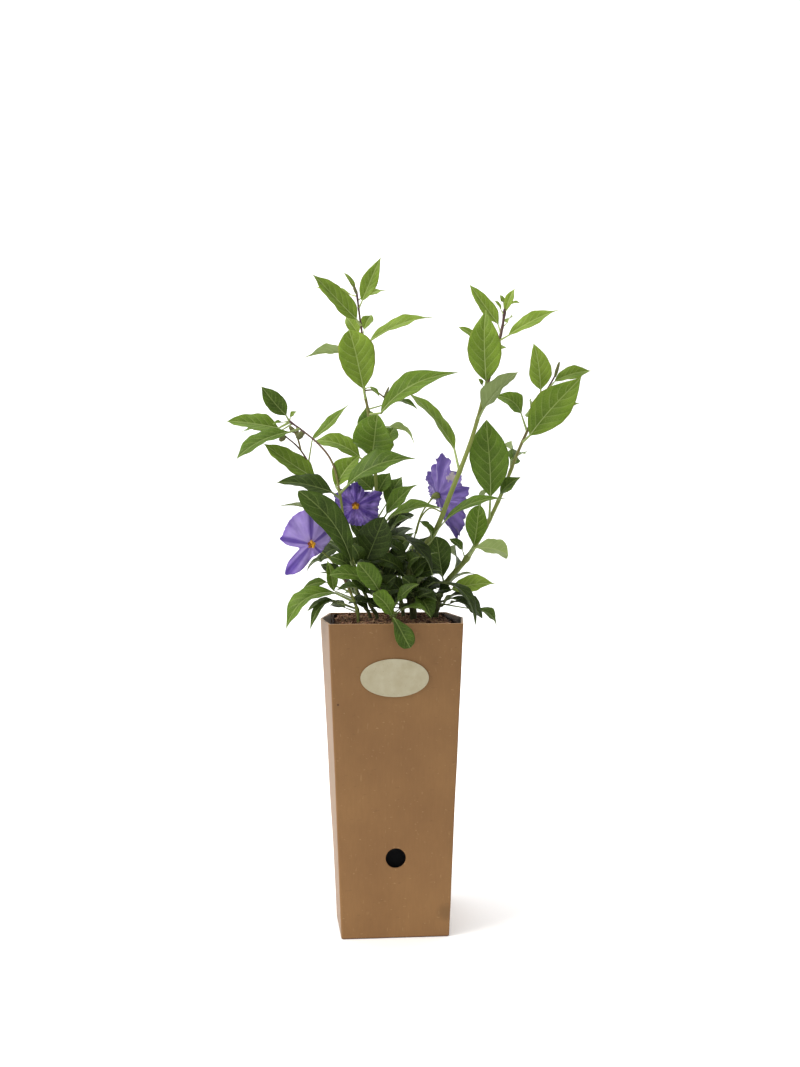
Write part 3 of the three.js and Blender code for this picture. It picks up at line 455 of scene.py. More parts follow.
def soil_part():
    """Rings of a rounded square: the foot, up the wall, then shrinking to the middle of the top."""
    inset = POT_WALL + FIT_GAP
    floor = POT_FOOT[1] + inset
    rings = []
    for height in (floor, floor + 50, floor + 110):
        ring = square_ring(pot_half_width(height) - inset, POT_CORNER - POT_WALL)
        rings.append(np.column_stack([ring, np.full(len(ring), height)]))
    for share in np.linspace(1, 0.012, SOIL_RINGS):
        ring = square_ring((pot_half_width(SOIL_TOP) - inset) * share, (POT_CORNER - POT_WALL) * share)
        edge = SOIL_SWELL * np.clip((share - 0.93) / 0.07, 0, 1)
        rings.append(np.column_stack([ring, crumble(ring[:, 0], ring[:, 1]) - edge]))
    return np.concatenate(rings), ring_faces(len(rings), len(rings[0])), {}


def crumbs_part(draw):
    """Loose crumbs: small lumps of a few rings from top to foot, each a dented ball of its own size."""
    spread = pot_half_width(SOIL_TOP) - POT_WALL - 2.5
    x, y = draw.uniform(-spread, spread, (2, CRUMBS))
    size = draw.uniform(*CRUMB_SIZE, CRUMBS)
    polar = np.linspace(0.15, math.pi - 0.15, CRUMB_RINGS)[None, :, None]
    turn = np.linspace(0, 2 * math.pi, CRUMB_SIDES, endpoint=False)[None, None, :]
    dents = 1 + draw.uniform(-CRUMB_DENT, CRUMB_DENT, (CRUMBS, CRUMB_RINGS, CRUMB_SIDES))
    radius = size[:, None, None] * dents
    balls = np.stack([
        x[:, None, None] + radius * np.sin(polar) * np.cos(turn),
        y[:, None, None] + radius * np.sin(polar) * np.sin(turn),
        (crumble(x, y) + 0.25 * size)[:, None, None] + 0.75 * radius * np.cos(polar)], -1)
    downwards = [face[::-1] for face in ring_faces(CRUMB_RINGS, CRUMB_SIDES)]
    per_crumb = CRUMB_RINGS * CRUMB_SIDES
    starts = range(0, CRUMBS * per_crumb, per_crumb)
    faces = [[start + v for v in face] for start in starts for face in downwards]
    return balls.reshape(-1, 3), faces, {}


def fibre_parts(draw):
    """Coir fibres: thin bent threads that lie on the crumbs, each a bow of its own length and turn."""
    spread = pot_half_width(SOIL_TOP) - POT_WALL - 6
    t = np.linspace(-0.5, 0.5, 7)
    arc = 1 - 4 * t ** 2
    for _ in range(FIBRES):
        middle = draw.uniform(-spread, spread, 2)
        turn = draw.uniform(0, math.pi)
        length = draw.uniform(*FIBRE_LENGTH)
        bow = draw.uniform(-FIBRE_BOW, FIBRE_BOW)
        x = middle[0] + length * t * math.cos(turn) - bow * arc * math.sin(turn)
        y = middle[1] + length * t * math.sin(turn) + bow * arc * math.cos(turn)
        z = crumble(x, y) + CRUMB_SIZE[0] + draw.uniform(0, FIBRE_LIFT) * arc
        yield tube_part(np.column_stack([x, y, z]), draw.uniform(*FIBRE_RADIUS), 4)


def join_parts(parts):
    """Several parts as one, with the faces' numbers moved on. A part that lacks an attribute has
    nought for it."""
    points, faces, start = [], [], 0
    for part_points, part_faces, _ in parts:
        points.append(part_points)
        faces += [[start + v for v in face] for face in part_faces]
        start += len(part_points)
    attributes = {
        key: np.concatenate([np.broadcast_to(part[2].get(key, 0.0), len(part[0])) for part in parts])
        for key in sorted({key for part in parts for key in part[2]})}
    return np.concatenate(points), faces, attributes


# Moist peat and coir: dark red-brown and rough all through, with painted shade in the hollows of its relief
peat, tree, shader = start_material("moist peat and coir", 0.92, 0.2)
where = add_node(tree, "TexCoord", output="Object")
clods = add_node(tree, "TexNoise", (where, 0.42 / MM, 6.0))
# The noise that raises the relief also darkens its low places: painted shade
peat_colour_and_hollow_shade = add_node(tree, "ValToRGB", (clods,), stops=((0.3, "#33211A"), (0.72, "#8A6650")))
finish_material(tree, shader, peat_colour_and_hollow_shade, clods, 0.9, 0.6)

# Dry coir: the pale to mid brown husk fibre of the coconut
coir, tree, shader = start_material("coir fibre", 0.7, 0.3)
where = add_node(tree, "TexCoord", output="Object")
strand = add_node(tree, "TexNoise", (where, 0.09 / MM, 2.0))
coir_colour = add_node(tree, "ValToRGB", (strand,), stops=((0.0, "#6E4B33"), (1.0, "#C9A47C")))
tree.links.new(coir_colour, shader.inputs["Base Color"])

draw = np.random.default_rng(7)
soil = build_mesh("peat_soil", join_parts([soil_part(), crumbs_part(draw)]), peat)
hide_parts("soil")
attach(soil, "root")
fibres = build_mesh("coir_fibres", join_parts(list(fibre_parts(draw))), coir)
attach(fibres, "root")

# Stems
# Young green wood that turns brown-violet towards its tips. Each stem is a smooth line through its
# points, thinning upwards, with a slight knuckle where a leaf leaves it.
STEM_SINK = 12.0
STEM_COLLAR = 3.0
KNUCKLE_SWELL = 0.2
KNUCKLE_REACH = 1.2
STEM_SIDES = 10
TWIG_SIDES = 7
TWIG_AGE = 0.3
BUD_POINT = 0.12


def smooth_line(points, per_span=14):
    """A centripetal Catmull-Rom line: each span is the cubic whose end slopes come from the points
    round it, weighed by the square roots of their distances."""
    points = np.asarray(points, float)
    padded = np.vstack([2 * points[0] - points[1], points, 2 * points[-1] - points[-2]])
    gaps = np.sqrt(np.linalg.norm(np.diff(padded, axis=0), axis=1))[:, None]
    a, b, c, d = padded[:-3], padded[1:-2], padded[2:-1], padded[3:]
    before, span, after = gaps[:-2], gaps[1:-1], gaps[2:]
    slope_b = ((b - a) / before - (c - a) / (before + span) + (c - b) / span) * span
    slope_c = ((c - b) / span - (d - b) / (span + after) + (d - c) / after) * span
    t = np.linspace(0, 1, per_span, endpoint=False)[None, :, None]
    cubic = (b[:, None] + slope_b[:, None] * t
             + (3 * (c - b) - 2 * slope_b - slope_c)[:, None] * t ** 2
             + (2 * (b - c) + slope_b + slope_c)[:, None] * t ** 3)
    return np.vstack([cubic.reshape(-1, 3), points[-1]])


def start_stem(points, foot_radius, tip_radius):
    """A stem's line from its hole in the soil to its tip, with its two radii."""
    across, _, depth = points[0]
    foot = place(across, SOIL_TOP, depth)
    sunk, collar = foot - (0, 0, STEM_SINK), foot + (0, 0, STEM_COLLAR)
    line = smooth_line([sunk, collar, *[place(*p) for p in points[1:]]])
    return {"line": line, "foot": foot_radius, "tip": tip_radius, "knuckles": []}


def on_stem(stem, height):
    """The point on a stem's line at a height."""
    line = stem["line"]
    return np.array([np.interp(height, line[:, 2], line[:, k]) for k in range(3)])


def stem_part(stem, greenness=1.0, dark_foot=0.0):
    """The stem as a tube whose radius falls evenly along it and swells a little at each knuckle. With s
    the share of the way to its tip, its age is (1 - d)(1 - s^greenness) + d(1 - s)^4, d its dark foot."""
    line = stem["line"]
    along = np.concatenate([[0], np.cumsum(np.linalg.norm(np.diff(line, axis=0), axis=1))])
    share = along / along[-1]
    radii = stem["foot"] + (stem["tip"] - stem["foot"]) * share
    for height in stem["knuckles"]:
        radii = radii * (1 + KNUCKLE_SWELL * np.exp(-((line[:, 2] - height) / KNUCKLE_REACH) ** 2))
    age = (1 - dark_foot) * (1 - share ** greenness) + dark_foot * (1 - share) ** 4
    return tube_part(line, radii, STEM_SIDES, age=np.repeat(age, STEM_SIDES))


def twig_part(stem, height, points, radius, age=TWIG_AGE):
    """A side twig as a tube along a smooth line from the stem."""
    line = smooth_line([on_stem(stem, height), *[place(*p) for p in points]], 8)
    return tube_part(line, radius, TWIG_SIDES, age=age)


def bud_part(start, end, radius):
    """A bud: a spindle from its stalk to its point, drawn in where the sepals end."""
    base, tip = place(*start), place(*end)
    t = np.linspace(0, 1, 14)
    spindle = 0.3 + 0.7 * np.sin(math.pi * (0.12 + 0.8 * t ** 0.9))
    radii = radius * spindle * (1 - 0.12 * np.exp(-((t - 0.6) / 0.05) ** 2))
    radii[-1] = BUD_POINT
    line = base + (tip - base) * t[:, None]
    return tube_part(line, radii, STEM_SIDES, age=TWIG_AGE, bud=np.repeat(1 - 0.6 * t, STEM_SIDES))


def made_uneven(tree, value, noise, swing):
    """A value that a noise moves up and down: value + swing (noise - 1/2)."""
    moved = add_node(tree, "Math", (noise, swing, -swing / 2), operation="MULTIPLY_ADD")
    return add_node(tree, "Math", (value, moved), operation="ADD")


# Green wood with a waxy skin: dark at an old foot, green above and brown-violet at the tips, with
# short pale lengthwise streaks and a fine down that dulls its shine, thickest on the buds.
green_wood, tree, shader = start_material("waxy green wood", 0.55, 0.25)
where = add_node(tree, "TexCoord", output="Object")
age, bud = [add_node(tree, "Attribute", output="Fac", attribute_name=name) for name in ("age", "bud")]
drawn_out = add_node(tree, "Mapping", (where, None, None, (1.0, 1.0, 0.2)))
streak = add_node(tree, "TexNoise", (drawn_out, 0.9 / MM, 3.0))
ripe = made_uneven(tree, age, streak, 0.35)
wood_colour = add_node(tree, "ValToRGB", (ripe,), stops=(
    (0.0, "#4A3437"), (0.24, "#63503A"), (0.42, "#757E3C"), (0.64, "#6B7636"), (0.78, "#4E5626"),
    (1.0, "#2C2C16")))
downy = add_node(tree, "Mix", (bud, wood_colour, "#5A603A"), data_type="RGBA")
finish_material(tree, shader, downy, streak, 0.35, 0.2)

# Leaves
# Thin lance-shaped blades on short stalks, grown alternately up the stem. Each is folded up a little
# along its rib, quilted between its side veins, arched, and waved along its edges.
USUAL_WIDEST = 0.42
BLADE_TAPER = 2.1
TAPER_LOSS = 3
TIP_NARROWING = 0.14
BLADE_FOLD = math.radians(20)
BLADE_THICKNESS = 0.32
BLADE_TWIST = 0.4
BLADE_SWING = 0.02
BLADE_CURL = 0.06
EDGE_WAVE = 0.065
EDGE_RIPPLE = 0.016
EDGE_NOTCH = 0.01
WAVES_ALONG = 1.6
RIPPLES_ALONG = 4.7
NOTCHES_ALONG = 6.3
QUILT_RISE = 0.45
RIB_GROOVE = 0.28
GROOVE_REACH = 0.5
FULL_RELIEF_WIDTH = 20
VEIN_PAIRS = 7.0
VEIN_SWEEP = 0.3
STALK_RUN = (0, 0.15, 0.4, 1)
STALK_RADII = np.array([0.75, 0.62, 0.42, 0.14])
OLD_LEAF_HEIGHT = 185.0
YOUNG_LEAF_HEIGHT = 345.0
OLD_TINT = 0.12
TINT_SPAN = 0.76
TINT_SCATTER = 0.1
GOLDEN = 0.618
FAN_STALK = 4
FAN_ARCH = 4
FAN_SHADES = 0.24


def blade_axes(base, tip, turn):
    """Directions of a blade: along it, out of its upper face and across it. A turn of 0 degrees shows
    the upper face to the eye, 90 turns it to the sky, and more shows the underside."""
    along = (tip - base) / np.linalg.norm(tip - base)
    sight = EYE - base
    to_eye = sight - along * (sight @ along)
    to_eye /= np.linalg.norm(to_eye)
    upward = np.cross(along, to_eye)
    if upward[2] < 0:
        upward = -upward
    face = to_eye * math.cos(math.radians(turn)) + upward * math.sin(math.radians(turn))
    across = np.cross(face, along)
    return along, face, across / np.linalg.norm(across)


def blade_form(s, v, length, width, arch, widest, bow, draw):
    """Half the width, the way aside, the rise and the veins of a blade at s along its rib and v across.
    Half its width is (s/w)^kw ((1-s)/(1-w))^k(1-w), with k the taper, drawn in at its tip. It rises by
    the fold times |v|, the arch's parabola and the edge waves times v squared, swells between its
    veins and sinks at its rib. The bow's parabola moves it aside."""
    t, hand = np.abs(v), np.sign(v)
    taper = BLADE_TAPER - TAPER_LOSS * max(0.0, widest - USUAL_WIDEST)
    outline = (s / widest) ** (taper * widest) * ((1 - s) / (1 - widest)) ** (taper * (1 - widest))
    tip_drawn = 1 - TIP_NARROWING * np.exp(-((1 - s) / 0.12) ** 2)
    half = np.maximum(0.5 * width * outline * tip_drawn, 0.4 * (1 - s) + 0.03)
    phase = draw.uniform(0, 6.28)
    swing = draw.uniform(-BLADE_SWING, BLADE_SWING)
    curl = draw.uniform(0.0, BLADE_CURL)
    fold = BLADE_FOLD * (1 - 0.35 * s)
    wave = EDGE_WAVE * width * t ** 2 * np.sin(2 * math.pi * WAVES_ALONG * s + hand * 1.4 + phase * 0.3)
    ripple = EDGE_RIPPLE * width * t ** 3 * np.sin(2 * math.pi * RIPPLES_ALONG * s + hand * 2.1 + phase)
    notch = 1 + EDGE_NOTCH * t ** 4 * np.sin(2 * math.pi * NOTCHES_ALONG * s + hand * 1.3 + 2 * phase)
    veins = (s - VEIN_SWEEP * (0.6 * t + 0.4 * t ** 2)) * VEIN_PAIRS + 0.12 * hand
    depth = np.clip(width / FULL_RELIEF_WIDTH, 0.3, 1.0)
    swelling = np.sin(math.pi * np.abs(veins - np.round(veins)))
    quilt = QUILT_RISE * depth * swelling * np.clip(4 * t * (1 - t), 0, 1)
    groove = -RIB_GROOVE * depth * np.exp(-(t * half / GROOVE_REACH) ** 2)
    parabola = 4 * s * (1 - s)
    rise = (half * t ** 1.15 * np.sin(fold) + (wave + ripple + quilt + groove) * np.sqrt(parabola)
            + arch * parabola - curl * length * s ** 4)
    aside = v * half * notch * np.cos(fold) + (swing * length + bow) * parabola
    return half, aside, rise, veins


def sheet_faces(upper, edge, count):
    """Faces of a thin sheet with `count` points above and as many below: the upper faces, the same
    turned over below, and a strip along the edge between them."""
    after = np.roll(edge, -1)
    rim = np.stack([edge, edge + count, after + count, after], -1)
    return np.concatenate([upper, upper[:, ::-1] + count, rim]).tolist()


def both_sides(values, shape):
    """Values on a sheet's grid, for its upper points and again for its lower ones."""
    return np.tile(np.broadcast_to(values, shape).ravel(), 2)


def leaf_part(root, base, tip, draw, width, turn, arch, widest=USUAL_WIDEST, bow=0, tone=None):
    """A leaf as two parts. The blade is a thin sheet that follows its form along the blade's axes and
    twists towards its tip. The stalk and rib are one tapering tube."""
    length = np.linalg.norm(tip - base)
    along, face, across = blade_axes(base, tip, turn)
    rows = int(np.clip(length * 0.95, 12, 46))
    columns = 17 if width > 11 else 13 if width > 6 else 9
    shape, count = (rows, columns), rows * columns
    s = np.linspace(0, 1, rows)[:, None]
    v = np.linspace(-1, 1, columns)[None, :]
    half, aside, rise, veins = blade_form(s, v, length, width, arch, widest, bow, draw)
    twist = (draw.uniform(-BLADE_TWIST, BLADE_TWIST) * s ** 2)[..., None]
    turned_across = across * np.cos(twist) + face * np.sin(twist)
    turned_face = face * np.cos(twist) - across * np.sin(twist)
    top = (base + along * (length * s)[..., None] + turned_across * aside[..., None]
           + turned_face * rise[..., None])
    under = top - face * BLADE_THICKNESS * (1 - 0.6 * np.abs(v)[..., None])
    edge = np.concatenate([
        np.arange(rows) * columns, (rows - 1) * columns + np.arange(1, columns),
        np.arange(rows - 2, -1, -1) * columns + columns - 1, np.arange(columns - 2, 0, -1)])
    # A leaf's tone is its age and also painted light and shade: lower leaves, older and deeper in the plant,
    # are drawn darker
    if tone is None:
        young_and_lit = np.clip((tip[2] - OLD_LEAF_HEIGHT) / (YOUNG_LEAF_HEIGHT - OLD_LEAF_HEIGHT), 0, 1)
        tone = np.clip(OLD_TINT + TINT_SPAN * young_and_lit + draw.uniform(-TINT_SCATTER, TINT_SCATTER), 0, 1)
    blade = (np.concatenate([top.reshape(-1, 3), under.reshape(-1, 3)]),
             sheet_faces(grid_faces(rows, columns), edge, count),
             {"rib": both_sides(v * half, shape), "vein": both_sides(veins, shape),
              "edge": both_sides(np.abs(v), shape), "tint": tone, "under": np.repeat([0.0, 1.0], count)})
    rib_line = (top[:, columns // 2] - face * (BLADE_THICKNESS * 0.9))[:int(rows * 0.9)]
    stalk_line = smooth_line([root, root + (base - root) * 0.5 - face * 0.15, base - face * 0.25], 5)[:-1]
    line = np.vstack([stalk_line, rib_line])
    stoutness = np.clip(width / 13, 0.75, 1.15)
    radii = np.interp(np.linspace(0, 1, len(line)), STALK_RUN, STALK_RADII * stoutness)
    return [blade, tube_part(line, radii, 6, rib=0.0, vein=0.5, edge=0.0, tint=tone, under=0.6)]


def leaves_on(stem, rows, draw, age_and_painted_light_tones=None):
    """Leaves from rows of root height on the stem, base, tip, width, turn, arch and, where they aren't
    the usual ones, place of greatest width and bow. `age_and_painted_light_tones` gives the tone of
    single leaves, from 0 dark to 1 light, by their place among the rows: partly their age and partly
    painted light and shade."""
    parts = []
    for i, (height, base, tip, *form) in enumerate(rows):
        stem["knuckles"].append(height)
        parts += leaf_part(on_stem(stem, height), place(*base), place(*tip), draw, *form,
                           tone=(age_and_painted_light_tones or {}).get(i))
    return parts


def fan_leaves(stem, heights, bearing, spread, length, width, draw, turn=90, tone=None, widest=USUAL_WIDEST):
    """Leaves that follow each other up a stem within a fan about a bearing, each turned on by the
    golden section of the fan. With a tone, their shades spread upwards from it in the same way; like
    every leaf's tone, it is partly age and partly painted light and shade."""
    parts = []
    for i, height in enumerate(heights):
        root = on_stem(stem, height)
        angle = math.radians(bearing + spread * (((i * GOLDEN) % 1) - 0.5))
        out = np.array([math.cos(angle), math.sin(angle), 0.35 + 0.2 * (i % 3)])
        shade = None if tone is None else tone + FAN_SHADES * ((i * (1 - GOLDEN)) % 1)
        reach = FAN_STALK + length * (0.85 + 0.1 * (i % 4))
        stem["knuckles"].append(height)
        parts += leaf_part(root, root + out * FAN_STALK, root + out * reach, draw, width, turn, FAN_ARCH,
                           widest, tone=shade)
    return parts


def plant_pieces(node, leaves, wood):
    """The leaves and the wood of a stem or spray, as two pieces in the place of its node."""
    for kind, parts, material in (("leaves", leaves, leaf_skin), ("wood", wood, green_wood)):
        piece = build_mesh(f"{node.rsplit('_', 1)[0]}_{kind}", join_parts(parts), material)
        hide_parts(node)
        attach(piece, "root")


# Living leaf: a waxy, slightly downy upper face, darker when old, with sunk pale veins, a fine net
# between them and a warm young margin, and a dull grey-green underside. Painted shade darkens each
# quilted panel towards one vein and the blade beside its rib, and a leaf's tone, underside too, also
# paints how lit or shaded it is. The net and the down are drawn coarser than they are, so that they show.
leaf_skin, tree, shader = start_material("waxy leaf", 0.5, 0.13)
where = add_node(tree, "TexCoord", output="Object")
tint, rib, vein, edge, under = [add_node(tree, "Attribute", output="Fac", attribute_name=name)
                                for name in ("tint", "rib", "vein", "edge", "under")]
blotch = add_node(tree, "TexNoise", (where, 0.13 / MM, 3.0))
toned = made_uneven(tree, tint, blotch, 0.3)
green = add_node(tree, "ValToRGB", (toned,), stops=(
    (0.0, "#141C06"), (0.3, "#2C3E0C"), (0.6, "#4E681A"), (0.82, "#657D24"), (1.0, "#7C9433")))
rib_away = add_node(tree, "Math", (rib,), operation="ABSOLUTE")
rib_shown = add_node(tree, "MapRange", (rib_away, 0.45, 0.12, 0.0, 0.6))
vein_away = add_node(tree, "Math", (vein, 0.5), operation="PINGPONG")
vein_shown = add_node(tree, "MapRange", (vein_away, 0.09, 0.02, 0.0, 0.3))
vein_fade = add_node(tree, "MapRange", (edge, 0.95, 0.5, 0.0, 1.0))
vein_drawn = add_node(tree, "Math", (vein_shown, vein_fade), operation="MULTIPLY")
lines = add_node(tree, "Math", (rib_shown, vein_drawn), operation="MAXIMUM")
line_colour = add_node(tree, "ValToRGB", (toned,), stops=((0.0, "#485A28"), (1.0, "#A6B76A")))
# Painted shade of the quilting: each panel between two veins darkens towards one vein, and the blade darkens
# beside its rib
between = add_node(tree, "Math", (vein,), operation="FRACT")
quilt_painted_shade = add_node(tree, "MapRange", (between, 0.05, 0.95, 0.84, 1.08))
rib_painted_shade = add_node(tree, "MapRange", (edge, 0.1, 0.85, 0.86, 1.1))
panel_painted_shade = add_node(tree, "Math", (quilt_painted_shade, rib_painted_shade), operation="MULTIPLY")
green_with_painted_shade = add_node(tree, "VectorMath", (green, panel_painted_shade), operation="MULTIPLY")
net = add_node(tree, "TexVoronoi", (where, 0.8 / MM), feature="DISTANCE_TO_EDGE")
net_shown = add_node(tree, "MapRange", (net, 0.09, 0.02, 0.0, 0.16))
netted = add_node(tree, "Mix", (net_shown, green_with_painted_shade, line_colour), data_type="RGBA")
margin = add_node(tree, "MapRange", (edge, 0.93, 1.0, 0.0, 0.45))
young_and_lit = add_node(tree, "MapRange", (toned, 0.6, 0.85, 0.0, 1.0))
margin_shown = add_node(tree, "Math", (margin, young_and_lit), operation="MULTIPLY")
warm_margin = add_node(tree, "Mix", (margin_shown, netted, "#8E6A34"), data_type="RGBA")
veined = add_node(tree, "Mix", (lines, warm_margin, line_colour), data_type="RGBA")
# Painted shade on the underside: a leaf of low tone has its underside drawn darker
under_painted_shade = add_node(tree, "MapRange", (toned, 0.1, 0.9, 0.55, 1.1))
under_pale = add_node(tree, "Mix", (lines, "#8C9C62", "#AFBA86"), data_type="RGBA")
under_green_with_painted_shade = add_node(tree, "VectorMath", (under_pale, under_painted_shade), operation="MULTIPLY")
under_shown = add_node(tree, "Math", (under, 0.8), operation="MULTIPLY")
leaf_colour = add_node(tree, "Mix", (under_shown, veined, under_green_with_painted_shade), data_type="RGBA")
down = add_node(tree, "TexNoise", (where, 1.6 / MM, 3.0))
finish_material(tree, shader, leaf_colour, down, 0.25, 0.15)

# Blooms
# Each corolla is five petals grown together in one ruffled wheel, violet with a dark band along each
# lobe, on a green five-toothed calyx that ends the flower stalk. A lobe is its angle, reach, lift and
# how far the web beside it falls back. Shade is painted shade: the angle where the wheel is drawn
# darkest and the swing of tone about it.
PETAL_THICKNESS = 0.3
PETAL_SOLID = 0.7
SEAT_GAP = 0.35
USUAL_WEB = 0.16
THROAT_SHARE = 0.16
WEB_LIFT = 1.6
PLEAT_RISE = 0.8
PETAL_RIB = 0.35
LOBE_POINT = 0.07
PETAL_RINGS = 26
PETAL_STEPS = 220
CALYX_LENGTH = 5.0
CALYX_RINGS = np.array([
    (-1, 0.7, 0), (-0.85, 1.2, 0.02), (-0.6, 1.8, 0.05), (-0.3, 2.0, 0.08), (0, 2.1, 0.12)])
CALYX_SIDES = 30
STALK_AGE = 0.6
ANTHER_LIFT = 0.15
ANTHER_LENGTH = 6.0
ANTHER_RADIUS = 1.15
ANTHER_SIDES = 9
LEFT_BLOOM = {
    "throat": (-52.9, 221.6, -18), "facing": (0.1, -1, -0.08),
    "wave": 0.9, "ruffle": 0.45, "tone": 0.27, "shade": (215, 0.16), "rust": (0.45, 1.0, 0.95, 0.1, 0.0),
    "lobes": [(38, 15.6, -5, 0.02), (90, 20.9, -1, 0), (170, 17.5, -2, 0.62), (230, 22, -2, 0.45),
              (320, 7.5, -2, USUAL_WEB)]}
MIDDLE_BLOOM = {
    "throat": (-26.4, 244.4, -9), "facing": (-0.08, -1, 0.05),
    "wave": 1.7, "ruffle": 2.1, "tone": 0.64, "shade": (120, 0.2), "rust": (1.0, 1.0, 0.3, 0.1, 0.8),
    "lobes": [(27, 16.5, -2, 0.3), (90, 13.8, -2, 0.04), (150, 14, -2, USUAL_WEB), (232, 11.5, -2, 0.08),
              (332, 14.6, -2, 0.12)]}
RIGHT_BLOOM = {
    "throat": (23, 251, 13), "facing": (0.76, 0.6, 0.24),
    "wave": 1.4, "ruffle": 2.2, "tone": 0.56, "shade": (300, 0.14), "rust": (0.3, 0.3, 0.3, 0.3, 0.3),
    "lobes": [(58, 16, 3, 0.06), (100, 23.5, 3, 0.14), (172, 20, 4, 0.24), (264, 28.5, 5, 0.34),
              (312, 8, 1.5, 0.1)]}


def bloom_axes(facing):
    """Directions of a bloom: out of its face, up and to the right as it is looked at."""
    out = np.array(facing, float) / np.linalg.norm(facing)
    up = np.array([0.0, 0.0, 1.0]) - out * out[2]
    up /= np.linalg.norm(up)
    return out, up, np.cross(up, out)


def corolla_edge(lobes, angle):
    """Reach, lift and share of the way between two lobes at each angle, eased as 3s^2 - 2s^3."""
    middles, reaches, lifts, webs = np.array(lobes, float).T
    at = np.degrees(angle)
    after = np.searchsorted(middles, at, side="right") % 5
    before = (after + 4) % 5
    share = ((at - middles[before]) % 360) / ((middles[after] - middles[before]) % 360)
    ease = share ** 2 * (3 - 2 * share)
    web = np.sin(math.pi * share)
    reach = (reaches[before] * (1 - ease) + reaches[after] * ease) * (1 - webs[before] * web ** 2)
    lift = lifts[before] * (1 - ease) + lifts[after] * ease + WEB_LIFT * web
    return reach, lift, share


def corolla_part(bloom, draw):
    """The wheel on a grid of share r of the reach and angle. It rises by the lift times r^1.3, by the
    pleat of each lobe and by ruffles that grow outwards, sinks along each lobe's rib, and is frayed
    and pointed at its edge."""
    out, up, right = bloom_axes(bloom["facing"])
    ruffle = bloom["ruffle"]
    angle = np.linspace(0, 2 * math.pi, PETAL_STEPS, endpoint=False)[None, :]
    r = np.linspace(0.03, 1, PETAL_RINGS)[:, None]
    reach, lift, share = corolla_edge(bloom["lobes"], angle)
    off_rib = np.minimum(share, 1 - share)
    outer = np.clip((r - THROAT_SHARE) / (1 - THROAT_SHARE), 0, 1)
    phase = draw.uniform(0, 6.28, 4)
    bend = 0.5 * np.sin(3 * angle + phase[3]) + 0.3 * np.sin(7 * r + phase[1])
    fine = (0.34 * np.sin(13 * (angle + 0.2 * bend) + phase[0] + 3 * r)
            + 0.24 * np.sin(23 * (angle + 0.15 * bend) + phase[1] - 5 * r)
            + 0.14 * np.sin(39 * angle + phase[2] + 7 * r + bend))
    crumple = (0.42 * np.sin(8 * r + 5 * angle + phase[3] + bend) * np.sin(7 * angle - 6 * r)
               + 0.2 * np.sin(17 * r + 9 * angle - phase[2]) * np.sin(11 * angle + 9 * r + bend))
    height = (lift * outer ** 1.3 + PLEAT_RISE * outer * np.cos(2 * math.pi * share)
              + bloom["wave"] * outer ** 2 * np.sin(4 * math.pi * share)
              + ruffle * (fine * outer ** 2 + crumple * outer)
              - PETAL_RIB * np.exp(-(off_rib / 0.03) ** 2) * outer)
    point = LOBE_POINT * np.exp(-(off_rib / 0.06) ** 2)
    frayed = ruffle * (0.011 * np.sin(31 * angle + phase[1] + bend) + 0.008 * np.sin(47 * angle + bend))
    side = r * reach * (1 + outer ** 4 * (frayed + point - 0.02))
    front = (place(*bloom["throat"]) + right * (side * np.cos(angle))[..., None]
             + up * (side * np.sin(angle))[..., None] + out * height[..., None])
    back = front - out * PETAL_THICKNESS
    count = PETAL_RINGS * PETAL_STEPS
    middle = np.arange(PETAL_STEPS)
    rim = middle + count - PETAL_STEPS
    faces = sheet_faces(grid_faces(PETAL_RINGS, PETAL_STEPS, wrap=True), rim, count)
    faces += [middle.tolist(), (middle + count)[::-1].tolist()]
    # Painted shade: the tone swings darker towards the shade's angle and deeper in the low folds of the
    # crumple
    darkest, swing = bloom["shade"]
    tone = (bloom["tone"] + swing * np.cos(angle - math.radians(darkest)) * outer
            + ruffle * (0.06 * np.sin(29 * angle + phase[2] + bend) * outer - 0.2 * crumple)
            + 0.3 * outer ** 8)
    return np.concatenate([front.reshape(-1, 3), back.reshape(-1, 3)]), faces, {
        "band": both_sides(off_rib * 2, tone.shape), "radial": both_sides(r, tone.shape),
        "tone": both_sides(tone, tone.shape), "outside": np.repeat([0.0, 1.0], count)}


def calyx_part(bloom):
    """The calyx: rings that widen from the stalk to its mouth, with five ribs that grow to its teeth."""
    out, up, right = bloom_axes(bloom["facing"])
    front = place(*bloom["throat"]) - out * (PETAL_SOLID + SEAT_GAP - 0.3)
    angle = np.linspace(0, 2 * math.pi, CALYX_SIDES, endpoint=False)[None, :]
    along, radius, ribs = (column[:, None] for column in CALYX_RINGS.T)
    radius = radius * (1 + ribs * np.cos(5 * angle))
    points = (front + right * (radius * np.cos(angle))[..., None] + up * (radius * np.sin(angle))[..., None]
              + out * (CALYX_LENGTH * along * np.ones_like(angle))[..., None])
    return points.reshape(-1, 3), ring_faces(len(CALYX_RINGS), CALYX_SIDES), {"age": 0.5, "bud": 0.35}


def bloom_stalk_parts(stem, height, points, bloom, radius):
    """The stalk that carries a bloom, from its stem to the back of the calyx, and the calyx."""
    out = bloom_axes(bloom["facing"])[0]
    end = place(*bloom["throat"]) - out * (PETAL_SOLID + SEAT_GAP + 0.7 * CALYX_LENGTH)
    line = smooth_line([on_stem(stem, height), *[place(*p) for p in points], end], 10)
    radii = np.linspace(radius * 0.85, radius, len(line))
    return [tube_part(line, radii, 8, age=STALK_AGE), calyx_part(bloom)]


